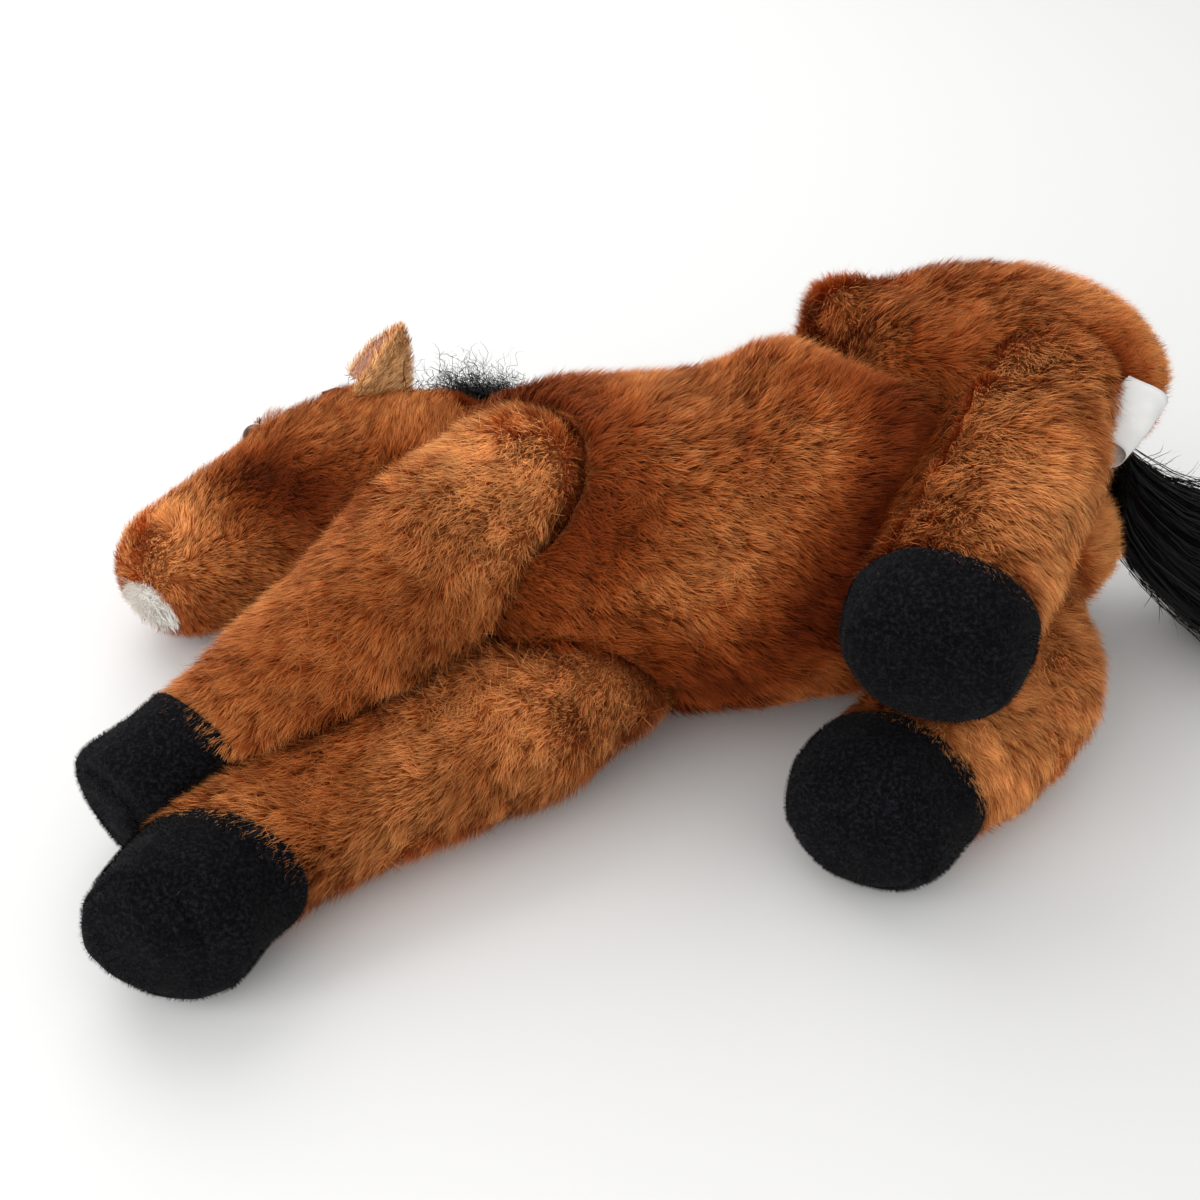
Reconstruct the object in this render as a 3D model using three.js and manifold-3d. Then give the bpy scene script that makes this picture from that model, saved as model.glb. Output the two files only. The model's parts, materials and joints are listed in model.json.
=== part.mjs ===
// A floppy plush horse that lies on its right side, with its head to the left and its belly to the front.
// X runs from muzzle to tail, Y from belly to back and Z up, in millimetres. The origin is under the torso,
// on the floor. Torso, neck, head and legs are sewn plush skins, each round a core of stuffing. The neck,
// the legs and the tail turn on the torso, where the real ones bend at their seams, and the ears on the head.
import * as THREE from "three";
import { mergeVertices } from "three/addons/utils/BufferGeometryUtils.js";
import Module from "manifold-3d";

const wasm = await Module();
wasm.setup();

// Cloth, and the room between pieces
const SKIN = 6; // plush: its backing and its pile
const VELOUR = 3; // the short black cloth of the hooves
const GAP = 0.4; // between two pieces that are sewn together
const TURNING_GAP = 0.8; // round what turns
const FLAT = 0.5; // how deep the floor cuts into what lies on it

// The torso and the haunches behind it. The sizes are its length, its depth from belly to back and its
// width from side to side, which is upright here.
const TORSO = { length: 300, depth: 150, width: 148, chestRound: 60, loinRound: 70 };
// From the chest to the loin: place along X and Y, half the depth and half the width
const TORSO_SHARES = [
  [-0.42, 0.2, 0.36, 0.4],
  [-0.28, 0.04, 0.47, 0.48],
  [0, 0, 0.5, 0.5],
  [0.2, 0.15, 0.54, 0.55],
  [0.42, 0.34, 0.48, 0.54],
];
// The two haunches, with the cleft of the rump between them
const HAUNCH = { length: 158, depth: 112, width: 92 };
const HAUNCH_SHARES = { left: [0.37, 0.34], right: [0.36, 0.28] }; // shares of the torso's length and depth
const CLEFT = 12; // how far the haunches run into each other

// The legs. Each turns on the torso in a round seat. The sizes of the four places named here, along each
// leg, are half its depth and half its width, as shares of the thickness.
const LEG = { thickness: 68, rootRadius: 32, startRound: 20, endRound: 12, hoofHeight: 34, sole: 7 };
const REACH = { front: 167, hind: 110, pastern: 38 }; // from root to wrist, and from there to the sole
const FRONT_LEG_SHARES = { root: [0.62, 0.6], knee: [0.52, 0.5], wrist: [0.47, 0.45], sole: [0.54, 0.48] };
const HIND_LEG_SHARES = { root: [0.56, 0.56], knee: [0.55, 0.54], wrist: [0.52, 0.49], sole: [0.55, 0.47] };
const KNEE_SHARE = 0.5; // of the way from root to wrist
// Root as shares of the torso's length, depth and width, headings of the leg and of its hoof in plan, how
// far the knee steps aside as a share of the leg's length, the hoof's tilt and the joint's turn
const LEGS = {
  front_left: {
    length: REACH.front,
    rootShares: [-0.3, -0.15, 0.8],
    heading: 211,
    hoofHeading: 232,
    hoofTilt: -5,
    kneeShare: 0.02,
    girthShares: FRONT_LEG_SHARES,
    turn: [0, 45],
  },
  front_right: {
    length: REACH.front,
    rootShares: [-0.19, -0.36, 0],
    heading: 213,
    hoofHeading: 255,
    hoofTilt: 14,
    kneeShare: -0.02,
    girthShares: FRONT_LEG_SHARES,
    turn: [0, 35],
  },
  hind_left: {
    length: REACH.hind,
    rootShares: [0.415, 0.1, 0.91],
    heading: 242,
    hoofHeading: 246,
    hoofTilt: -8,
    kneeShare: 0,
    girthShares: HIND_LEG_SHARES,
    turn: [0, 40],
  },
  hind_right: {
    length: REACH.hind,
    rootShares: [0.43, -0.06, 0],
    heading: 233,
    hoofHeading: 240,
    hoofTilt: 6,
    kneeShare: 0.18,
    girthShares: HIND_LEG_SHARES,
    turn: [0, 30],
  },
};

// The neck, which turns on the torso as the legs do, and the head at its end
const NECK = { length: 76, depth: 84, width: 86, rootRadius: 34, round: 28, heading: 141, turn: [-25, 6] };
const NECK_ROOT_SHARES = [-0.345, 0.34, 0.4];
const HEAD = { length: 186, depth: 90, width: 88, crownRound: 42, muzzleRound: 27, heading: 219 };
const HEAD_SHARES = [
  [0.48, 0.46],
  [0.52, 0.5],
  [0.48, 0.47],
  [0.41, 0.41],
  [0.36, 0.36],
];
const PATCH = { radius: 18, step: 13 }; // on the tip of the muzzle, a step towards the chin

// Eyes and ears. Each place is a share of the head's length and an angle from its back to its side.
const EYE = { radius: 7, stemRadius: 2.2, washerRadius: 8, washer: 2, around: 42 };
const EYE_SHARE = 0.5;
const EAR = { length: 36, width: 42, thickness: 9, root: 8, round: 7, lining: 3, turn: [-6, 18] };
// Half the width and half the thickness, from root to tip
const EAR_SHARES = [
  [0.36, 0.42],
  [0.5, 0.5],
  [0.42, 0.42],
  [0.16, 0.24],
];
const LINING_SHARE = 0.68; // its width, of the ear's
const EARS = {
  left: { alongShare: 0.16, around: 82, lean: [0.42, -0.24, 0.88] },
  right: { alongShare: 0.18, around: -30, lean: [-0.1, 0.98, 0.16] },
};

// Mane, forelock, tail and label
const MANE = { depth: 36, width: 54, round: 18, rise: 10 };
const FORELOCK = { depth: 16, width: 26, round: 9, around: 20 };
const FORELOCK_SHARES = [0.04, 0.16, 0.3]; // places along the head
const TAIL = { length: 170, depth: 62, width: 48, rootRadius: 14, round: 20, heading: 338, turn: [-8, 35] };
// Place along the tail, half the depth and half the width
const TAIL_SHARES = [
  [0, 0.22, 0.24],
  [0.3, 0.42, 0.46],
  [0.7, 0.5, 0.44],
  [1, 0.36, 0.3],
];
const TAIL_DROP_SHARE = 0.6; // where it reaches the floor
const TAIL_ROOT_SHARES = [0.625, 0.36, 0.48];
const LABEL = { width: 32, reach: 18, root: 14, spread: 7, ribbon: 0.8, lean: 143, heading: 335 };
const LABEL_ROOT_SHARES = [0.54, 0.055, 0.86];

const FACETS = { torso: 20, haunch: 16, head: 14, limb: 12, ball: 16, small: 8 };
const RINGS = { torso: 10, limb: 8, head: 9, neck: 5, small: 5 };
const TURN_SHARES = [0.12, 0.27, 0.41, 0.55, 0.76, 1]; // where in its turn a piece is cleared
const LIFT_SHARES = [0.06, 0.14]; // where a left leg slides off the right one as it lifts
const WELD = 1e-4; // corners nearer than this are one

const COLOURS = {
  plush: 0x9c5423, stuffing: 0xf2efe6, hoof: 0x0d0d11, patch: 0xf0ece2, lining: 0xb8795a,
  hair: 0x0b0b0d, eye: 0x2a1206, washer: 0xe6e6e2, label: 0xf7f7f4,
};
const finishes = Object.fromEntries(
  Object.entries(COLOURS).map(([name, color]) => [
    name,
    new THREE.MeshStandardMaterial({ color, roughness: name === "eye" ? 0.2 : 0.95, metalness: 0 }),
  ]),
);

const radians = THREE.MathUtils.degToRad;
const UP = new THREE.Vector3(0, 0, 1);
const at = (x, y, z) => new THREE.Vector3(x, y, z);
const headed = (degrees) => at(Math.cos(radians(degrees)), Math.sin(radians(degrees)), 0);

// A closed geometry as a solid that can be joined and cut
function solidOf(geometry) {
  geometry.deleteAttribute("normal");
  geometry.deleteAttribute("uv");
  const merged = mergeVertices(geometry, WELD);
  return new wasm.Manifold(
    new wasm.Mesh({
      numProp: 3,
      vertProperties: merged.getAttribute("position").array,
      triVerts: new Uint32Array(merged.index.array),
    }),
  );
}

// The solid as a mesh of the horse, with its name and finish
function piece(name, solid, finish) {
  const made = solid.getMesh();
  const geometry = new THREE.BufferGeometry();
  geometry.setAttribute("position", new THREE.BufferAttribute(made.vertProperties, 3));
  geometry.setIndex(new THREE.BufferAttribute(made.triVerts, 1));
  geometry.computeVertexNormals();
  const mesh = new THREE.Mesh(geometry, finishes[finish]);
  mesh.name = name;
  return mesh;
}

// A stuffed form: rings round a bent middle line, with round ends. Each station is a place on that line
// with half the depth and half the width there. A positive inset gives the form inside a skin of that
// thickness, and a negative one gives the form with room left round it.
function stuffed({ stations, startRound, endRound, sides, rings, up = UP }, inset = 0) {
  const line = new THREE.CatmullRomCurve3(stations.map(([centre]) => centre));
  const girth = new THREE.CatmullRomCurve3(stations.map(([, depth, width]) => at(depth, width, 0)));
  const length = line.getLength();
  const grown = 1 / Math.cos(Math.PI / sides); // the flats between the points lie on the form
  const points = [];
  for (let ring = 0; ring <= rings; ring++) {
    const along = inset + ((1 - Math.cos((Math.PI * ring) / rings)) / 2) * (length - 2 * inset);
    const share = THREE.MathUtils.clamp(along / length, 0, 1);
    const t = line.getUtoTmapping(share);
    const tangent = line.getTangent(t);
    const centre = line.getPoint(t).addScaledVector(tangent, along - share * length);
    if (ring === 0 || ring === rings) {
      points.push(centre.toArray());
      continue;
    }
    const size = girth.getPoint(t);
    const side = new THREE.Vector3().crossVectors(up, tangent).normalize();
    const rise = new THREE.Vector3().crossVectors(tangent, side);
    const start = Math.max(0, 1 - (along - inset) / (startRound - inset));
    const end = Math.max(0, 1 - (length - along - inset) / (endRound - inset));
    const round = grown * Math.sqrt((1 - start * start) * (1 - end * end));
    for (let i = 0; i < sides; i++) {
      const turn = ((i + 1 / 2) * 2 * Math.PI) / sides;
      const out = centre.clone();
      out.addScaledVector(side, Math.sin(turn) * round * (size.x - inset));
      out.addScaledVector(rise, -Math.cos(turn) * round * (size.y - inset));
      points.push(out.toArray());
    }
  }
  const faces = [];
  const last = points.length - 1;
  const index = (ring, i) => 1 + (ring - 1) * sides + (i % sides);
  for (let i = 0; i < sides; i++) {
    faces.push(0, index(1, i + 1), index(1, i));
    faces.push(last, index(rings - 1, i), index(rings - 1, i + 1));
    for (let ring = 1; ring < rings - 1; ring++) {
      faces.push(index(ring, i), index(ring, i + 1), index(ring + 1, i));
      faces.push(index(ring, i + 1), index(ring + 1, i + 1), index(ring + 1, i));
    }
  }
  const geometry = new THREE.BufferGeometry();
  geometry.setAttribute("position", new THREE.Float32BufferAttribute(points.flat(), 3));
  geometry.setIndex(faces);
  return solidOf(geometry);
}

// An egg with those half sizes along X, Y and Z, within its flats
function egg(centre, halfX, halfY, halfZ, facets) {
  const grown = 1 / Math.cos(Math.PI / facets) ** 2;
  const geometry = new THREE.SphereGeometry(grown, facets, facets / 2);
  geometry.rotateX(Math.PI / 2).scale(halfX, halfY, halfZ).translate(centre.x, centre.y, centre.z);
  return solidOf(geometry);
}

// A ball that turns about an axis, with its facets round that axis
function ball(centre, radius, axis = UP) {
  const geometry = new THREE.SphereGeometry(radius, FACETS.ball, FACETS.ball / 2);
  geometry.applyQuaternion(new THREE.Quaternion().setFromUnitVectors(at(0, 1, 0), axis));
  geometry.translate(centre.x, centre.y, centre.z);
  return solidOf(geometry);
}

// The seat in which a limb's root turns, clear of its facets
const seat = ({ root, rootRadius, axis }) =>
  ball(root, (rootRadius + GAP / 2) / Math.cos(Math.PI / FACETS.ball), axis);

const cut = (solid, ...cutters) => cutters.reduce((left, cutter) => left.subtract(cutter), solid);

// A block that fills all beyond a point, in a direction
function beyond(point, direction, size) {
  const geometry = new THREE.BoxGeometry(size, size, size);
  geometry.translate(0, 0, size / 2);
  geometry.applyQuaternion(new THREE.Quaternion().setFromUnitVectors(UP, direction));
  geometry.translate(point.x, point.y, point.z);
  return solidOf(geometry);
}

// The solid turned by that angle about an axis through a point
function turned(solid, pivot, axis, degrees) {
  const matrix = new THREE.Matrix4().makeTranslation(pivot.x, pivot.y, pivot.z);
  matrix.multiply(new THREE.Matrix4().makeRotationAxis(axis, radians(degrees)));
  matrix.multiply(new THREE.Matrix4().makeTranslation(-pivot.x, -pivot.y, -pivot.z));
  return solid.transform(matrix.elements);
}

// What is left of a moving piece that clears one shape at rest and another through its turn
function clearOf(moving, still, swept, { root, axis, turn }, shares = TURN_SHARES) {
  const angles = turn.flatMap((end) => shares.map((share) => share * end)).filter((angle) => angle !== 0);
  const cutters = angles.map((angle) => turned(swept, root, axis, -angle));
  return cut(moving, still, ...cutters);
}

const largest = (solid) =>
  solid.decompose().reduce((best, body) => (body.volume() > best.volume() ? body : best));

// What lies under the floor, with room above it
const floor = (inset = 0) => beyond(at(0, 0, inset), UP.clone().negate(), 4 * TORSO.length);

const horse = new THREE.Group();
const add = (name, solid, finish) => horse.add(piece(name, largest(solid), finish));

// The torso and its haunches
const torsoForm = {
  stations: TORSO_SHARES.map(([x, y, halfDepth, halfWidth]) => [
    at(x * TORSO.length, y * TORSO.depth, halfWidth * TORSO.width - FLAT),
    halfDepth * TORSO.depth,
    halfWidth * TORSO.width,
  ]),
  startRound: TORSO.chestRound,
  endRound: TORSO.loinRound,
  sides: FACETS.torso,
  rings: RINGS.torso,
};
const haunchMiddles = Object.entries(HAUNCH_SHARES).map(([side, [x, y]]) => {
  const rise = side === "left" ? HAUNCH.width - CLEFT : 0;
  return at(x * TORSO.length, y * TORSO.depth, rise + HAUNCH.width / 2 - FLAT);
});
function trunk(inset = 0) {
  const haunchHalves = [HAUNCH.length, HAUNCH.depth, HAUNCH.width].map((size) => size / 2 - inset);
  const haunches = haunchMiddles.map((middle) => egg(middle, ...haunchHalves, FACETS.haunch));
  return haunches.reduce((whole, one) => whole.add(one), stuffed(torsoForm, inset));
}
const onTorso = ([x, y, z]) => at(x * TORSO.length, y * TORSO.depth, z * TORSO.width);

// A limb's outside: what the turning form leaves free of the torso, with the round root that joins it
function limb(form) {
  const outside = clearOf(stuffed(form), trunk(-GAP), trunk(-TURNING_GAP), form);
  return cut(largest(outside).add(ball(form.root, form.rootRadius, form.axis)), floor());
}

// The inside of a limb's skin. It stops short of the root, where the limb is stitched flat.
function limbInside(form, inset) {
  const toRoot = form.root.clone().sub(form.stations[1][0]).normalize();
  const stitching = form.root.clone().addScaledVector(toRoot, -form.rootRadius - inset);
  const pastStitching = beyond(stitching, toRoot, 4 * form.rootRadius);
  return cut(stuffed(form, inset), trunk(-TURNING_GAP - inset), pastStitching, floor(inset));
}

// The legs. The left ones lie on top and lift, and the right ones lie on the floor and swing over it.
function legForm(name) {
  const leg = LEGS[name];
  const isLeft = name.endsWith("left");
  const halves = (shares) => shares.map((share) => share * LEG.thickness);
  const half = Object.fromEntries(
    Object.entries(leg.girthShares).map(([place, shares]) => [place, halves(shares)]),
  );
  const root = onTorso(leg.rootShares);
  if (!isLeft) root.z = half.root[1] - FLAT;
  const under = name === "hind_left" ? 2 * half.sole[1] + GAP : 0;
  const tilt = radians(leg.hoofTilt);
  const soleHeight = under + half.sole[1] - FLAT + Math.max(0, (Math.sin(tilt) * REACH.pastern) / 2);
  const wristHeight = soleHeight - Math.sin(tilt) * REACH.pastern;
  const heading = headed(leg.heading);
  const side = new THREE.Vector3().crossVectors(UP, heading);
  const reach = Math.sqrt(leg.length ** 2 - (root.z - wristHeight) ** 2);
  const wrist = root.clone().addScaledVector(heading, reach).setZ(wristHeight);
  const knee = root.clone().lerp(wrist, KNEE_SHARE).addScaledVector(side, leg.kneeShare * leg.length);
  const hoofAxis = headed(leg.hoofHeading).multiplyScalar(Math.cos(tilt)).setZ(Math.sin(tilt));
  const sole = wrist.clone().addScaledVector(hoofAxis, REACH.pastern);
  return {
    stations: [
      [root, ...half.root],
      [knee, ...half.knee],
      [wrist, ...half.wrist],
      [sole, ...half.sole],
    ],
    root,
    sole,
    hoofAxis,
    rootRadius: LEG.rootRadius,
    axis: isLeft ? side.clone().negate() : UP,
    turn: leg.turn,
    startRound: LEG.startRound,
    endRound: LEG.endRound,
    sides: FACETS.limb,
    rings: RINGS.limb,
  };
}

const legs = Object.fromEntries(Object.keys(LEGS).map((name) => [name, legForm(name)]));
// A left leg lies on or against the right one, which cuts it back
const beneath = { front_left: legs.front_right, hind_left: legs.hind_right };

for (const [name, leg] of Object.entries(legs)) {
  const past = (distance) =>
    beyond(leg.sole.clone().addScaledVector(leg.hoofAxis, -distance), leg.hoofAxis, 4 * LEG.thickness);
  const clear = (solid, inset) => {
    if (!beneath[name]) return solid;
    const [still, swept] = [GAP, TURNING_GAP].map((gap) => stuffed(beneath[name], -gap - inset));
    return clearOf(solid, still, swept, leg, LIFT_SHARES);
  };
  const outer = clear(limb(leg), 0);
  const inside = (inset) => clear(limbInside(leg, inset), inset);
  const hoof = past(LEG.hoofHeight);
  const stuffing = inside(SKIN + GAP).add(inside(VELOUR + GAP).intersect(past(LEG.hoofHeight - GAP)));
  add(`${name}_leg_skin`, cut(outer, inside(SKIN), past(LEG.hoofHeight + GAP)), "plush");
  add(`${name}_leg_stuffing`, cut(stuffing, past(LEG.sole + GAP)), "stuffing");
  add(`${name}_hoof_wall`, cut(outer.intersect(hoof), inside(VELOUR), past(LEG.sole + GAP)), "hoof");
  add(`${name}_hoof_sole`, outer.intersect(past(LEG.sole)), "hoof");
}

// The neck and the head
const neckRoot = onTorso(NECK_ROOT_SHARES);
const poll = neckRoot.clone().addScaledVector(headed(NECK.heading), NECK.length);
poll.z = HEAD_SHARES[1][1] * HEAD.width - FLAT;
const neck = {
  stations: [0, 1 / 2, 1].map((share) => [
    neckRoot.clone().lerp(poll, share),
    NECK.depth / 2,
    NECK.width / 2,
  ]),
  root: neckRoot,
  rootRadius: NECK.rootRadius,
  axis: UP,
  turn: NECK.turn,
  startRound: NECK.round,
  endRound: NECK.round,
  sides: FACETS.limb,
  rings: RINGS.neck,
};
const headAxis = headed(HEAD.heading);
const headBack = new THREE.Vector3().crossVectors(headAxis, UP);
const crown = poll.clone().addScaledVector(headAxis, -HEAD.crownRound);
const headForm = {
  stations: HEAD_SHARES.map(([halfDepth, halfWidth], i) => [
    crown
      .clone()
      .addScaledVector(headAxis, (i / (HEAD_SHARES.length - 1)) * HEAD.length)
      .setZ(halfWidth * HEAD.width - FLAT),
    halfDepth * HEAD.depth,
    halfWidth * HEAD.width,
  ]),
  startRound: HEAD.crownRound,
  endRound: HEAD.muzzleRound,
  sides: FACETS.head,
  rings: RINGS.head,
};

// A place on the head's skin, or at a depth inside it, and the way out from there
const headLine = new THREE.CatmullRomCurve3(headForm.stations.map(([centre]) => centre));
function onHead(alongShare, around, depth = 0) {
  const centre = headLine.getPointAt(alongShare);
  const girth = new THREE.CatmullRomCurve3(headForm.stations.map(([, x, y]) => at(x, y, 0)));
  const size = girth.getPoint(headLine.getUtoTmapping(alongShare));
  const angle = radians(around);
  const out = headBack.clone().multiplyScalar(Math.cos(angle)).setZ(Math.sin(angle));
  const skin = centre.addScaledVector(headBack, Math.cos(angle) * size.x);
  skin.z += Math.sin(angle) * size.y;
  return { point: skin.addScaledVector(out, -depth), out };
}
const head = (inset = 0) => cut(stuffed(headForm, inset), floor(inset));

// A round bar or disc from a point along a direction
function bar(point, direction, radius, length, facets = FACETS.small) {
  const geometry = new THREE.CylinderGeometry(radius, radius, length, facets);
  geometry.rotateX(Math.PI / 2).translate(0, 0, length / 2);
  geometry.applyQuaternion(new THREE.Quaternion().setFromUnitVectors(UP, direction));
  geometry.translate(point.x, point.y, point.z);
  return solidOf(geometry);
}

// The front left leg leans on the throat, so it cuts the neck back
const reach = (inset) => stuffed(legs.front_left, -TURNING_GAP - inset);
const neckInside = (inset) => cut(limbInside(neck, inset), reach(inset));
add("neck_skin", cut(limb(neck), neckInside(SKIN), head(-GAP), reach(0)), "plush");
add("neck_stuffing", cut(neckInside(SKIN + GAP), head(SKIN)), "stuffing");

const patchMiddle = headLine.getPoint(1).addScaledVector(headBack, -PATCH.step);
const patchBall = (radius) => ball(patchMiddle, radius);
const eyePlaces = { left: onHead(EYE_SHARE, EYE.around), right: onHead(EYE_SHARE, -EYE.around) };
const sag = HEAD.depth / 2 - Math.sqrt((HEAD.depth / 2) ** 2 - EYE.washerRadius ** 2);
const washerDepth = SKIN + 2 * sag + GAP;
const stemLength = washerDepth + 2 * EYE.washer;
const holes = Object.values(eyePlaces).map(({ point, out }) =>
  bar(point.clone().addScaledVector(out, -2 * stemLength), out, EYE.stemRadius + GAP, 3 * stemLength),
);
const washerFacets = 2 * FACETS.small;
const washerRooms = Object.values(eyePlaces).map(({ point, out }) => {
  const bottom = point.clone().addScaledVector(out, -2 * stemLength);
  return bar(bottom, out, EYE.washerRadius + GAP, 2 * stemLength, washerFacets);
});
const headShell = cut(head(), head(SKIN), neckInside(SKIN), ...holes);
add("head_skin", cut(headShell, patchBall(PATCH.radius + GAP)), "plush");
add("muzzle_patch", headShell.intersect(patchBall(PATCH.radius)), "patch");
add("head_stuffing", cut(head(SKIN + GAP), ...washerRooms), "stuffing");
for (const [side, { point, out }] of Object.entries(eyePlaces)) {
  const inward = out.clone().negate();
  const dome = cut(ball(point, EYE.radius), head(-GAP));
  const stemTop = point.clone().addScaledVector(out, EYE.radius / 2);
  const stem = bar(stemTop, inward, EYE.stemRadius, EYE.radius / 2 + stemLength);
  add(`eye_${side}`, dome.add(stem), "eye");
  const seatPoint = point.clone().addScaledVector(inward, washerDepth);
  const washer = bar(seatPoint, inward, EYE.washerRadius, EYE.washer, washerFacets);
  add(`eye_washer_${side}`, cut(washer, ...holes), "washer");
}

// An ear turns on the line across its root. Its lining lies in its front, which faces the muzzle.
for (const [side, { alongShare, around, lean }] of Object.entries(EARS)) {
  const { point: root } = onHead(alongShare, around);
  const rise = at(...lean).normalize();
  const across = new THREE.Vector3().crossVectors(rise, headAxis).normalize();
  const front = new THREE.Vector3().crossVectors(across, rise);
  const form = (width, thickness, forward) => ({
    stations: EAR_SHARES.map(([halfWidth, halfThickness], i) => [
      root
        .clone()
        .addScaledVector(rise, (i / (EAR_SHARES.length - 1)) * (EAR.length + EAR.root) - EAR.root)
        .addScaledVector(front, forward * halfThickness),
      halfWidth * width,
      halfThickness * thickness,
    ]),
    startRound: EAR.round,
    endRound: EAR.round,
    sides: FACETS.small,
    rings: RINGS.small,
    up: headAxis,
  });
  const hinge = { root, axis: across, turn: EAR.turn };
  const near = (gap) => head(-gap).add(stuffed(neck, -gap));
  const clear = (solid) => clearOf(solid, near(GAP), near(TURNING_GAP), hinge);
  const lining = form(LINING_SHARE * EAR.width, EAR.lining, EAR.thickness);
  add(`ear_${side}`, clear(cut(stuffed(form(EAR.width, EAR.thickness, 0)), stuffed(lining, -GAP))), "plush");
  add(`ear_${side}_lining`, clear(stuffed(lining)), "lining");
}

// The mane stands on the back of the neck, and the forelock on the forehead between the ears
const neckAxis = poll.clone().sub(neckRoot).normalize();
const neckBack = new THREE.Vector3().crossVectors(neckAxis, UP).normalize();
const maneForm = {
  stations: [1, 1 / 2, 0].map((share) => [
    neckRoot
      .clone()
      .lerp(poll, share)
      .addScaledVector(neckBack, NECK.depth / 2)
      .add(at(0, 0, MANE.rise)),
    MANE.depth / 2,
    MANE.width / 2,
  ]),
  startRound: MANE.round,
  endRound: MANE.round,
  sides: FACETS.small,
  rings: RINGS.small,
};
const forelockForm = {
  stations: FORELOCK_SHARES.map((share) => [
    onHead(share, FORELOCK.around).point,
    FORELOCK.depth / 2,
    FORELOCK.width / 2,
  ]),
  startRound: FORELOCK.round,
  endRound: FORELOCK.round,
  sides: FACETS.small,
  rings: RINGS.small,
};
const mane = cut(stuffed(maneForm), stuffed(neck, -GAP), seat(neck), head(-GAP));
add("mane", clearOf(mane, trunk(-GAP), trunk(-TURNING_GAP), neck), "hair");
add("forelock", cut(stuffed(forelockForm), head(-GAP), stuffed(maneForm, -GAP)), "hair");

// The tail hangs from the rump to the floor
const tailRoot = onTorso(TAIL_ROOT_SHARES);
const tail = {
  stations: TAIL_SHARES.map(([share, halfDepth, halfWidth]) => {
    const centre = tailRoot.clone().addScaledVector(headed(TAIL.heading), share * TAIL.length);
    const low = halfWidth * TAIL.width - FLAT;
    centre.z = THREE.MathUtils.lerp(tailRoot.z, low, Math.min(1, share / TAIL_DROP_SHARE));
    return [centre, halfDepth * TAIL.depth, halfWidth * TAIL.width];
  }),
  root: tailRoot,
  rootRadius: TAIL.rootRadius,
  axis: UP,
  turn: TAIL.turn,
  startRound: TAIL.round,
  endRound: TAIL.round,
  sides: FACETS.small,
  rings: RINGS.limb,
};
add("tail", limb(tail), "hair");

// The label is a ribbon folded to a loop, with both ends in the seam
const loop = new THREE.Shape();
const bend = LABEL.spread / 2;
loop.moveTo(-LABEL.root, -bend);
loop.lineTo(LABEL.reach - bend, -bend);
loop.absarc(LABEL.reach - bend, 0, bend, -Math.PI / 2, Math.PI / 2);
loop.lineTo(-LABEL.root, bend);
loop.lineTo(-LABEL.root, bend - LABEL.ribbon);
loop.lineTo(LABEL.reach - bend, bend - LABEL.ribbon);
loop.absarc(LABEL.reach - bend, 0, bend - LABEL.ribbon, Math.PI / 2, -Math.PI / 2, true);
loop.lineTo(-LABEL.root, LABEL.ribbon - bend);
loop.closePath();
const ribbon = new THREE.ExtrudeGeometry(loop, {
  depth: LABEL.width,
  bevelEnabled: false,
  curveSegments: FACETS.small / 2,
});
const labelRoot = onTorso(LABEL_ROOT_SHARES);
ribbon.translate(0, 0, -LABEL.width / 2).rotateX(radians(LABEL.lean)).rotateZ(radians(LABEL.heading));
ribbon.translate(labelRoot.x, labelRoot.y, labelRoot.z);
add("label", cut(solidOf(ribbon), trunk(-GAP)), "label");

// The torso
const seats = [...Object.values(legs), neck, tail].map(seat);
add("torso_skin", cut(trunk(), trunk(SKIN), floor(), ...seats), "plush");
add("torso_stuffing", cut(trunk(SKIN + GAP), floor(SKIN + GAP), ...seats), "stuffing");

export default horse;
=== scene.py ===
"""A floppy plush horse that lies on its right side, dressed for rendering.

Each stuffed piece is a padded skin with its own pile of short tapered strands. The hooves are short black
velour, the mane and the tail are long hair, and the eyes, the ears and the label are modelled on their own.
"""
import itertools
import json
import math
from collections import namedtuple

import bmesh
import bpy
import numpy as np
from bpy.props import FloatProperty, FloatVectorProperty, IntProperty, PointerProperty
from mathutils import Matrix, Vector
from mathutils.bvhtree import BVHTree

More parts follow.
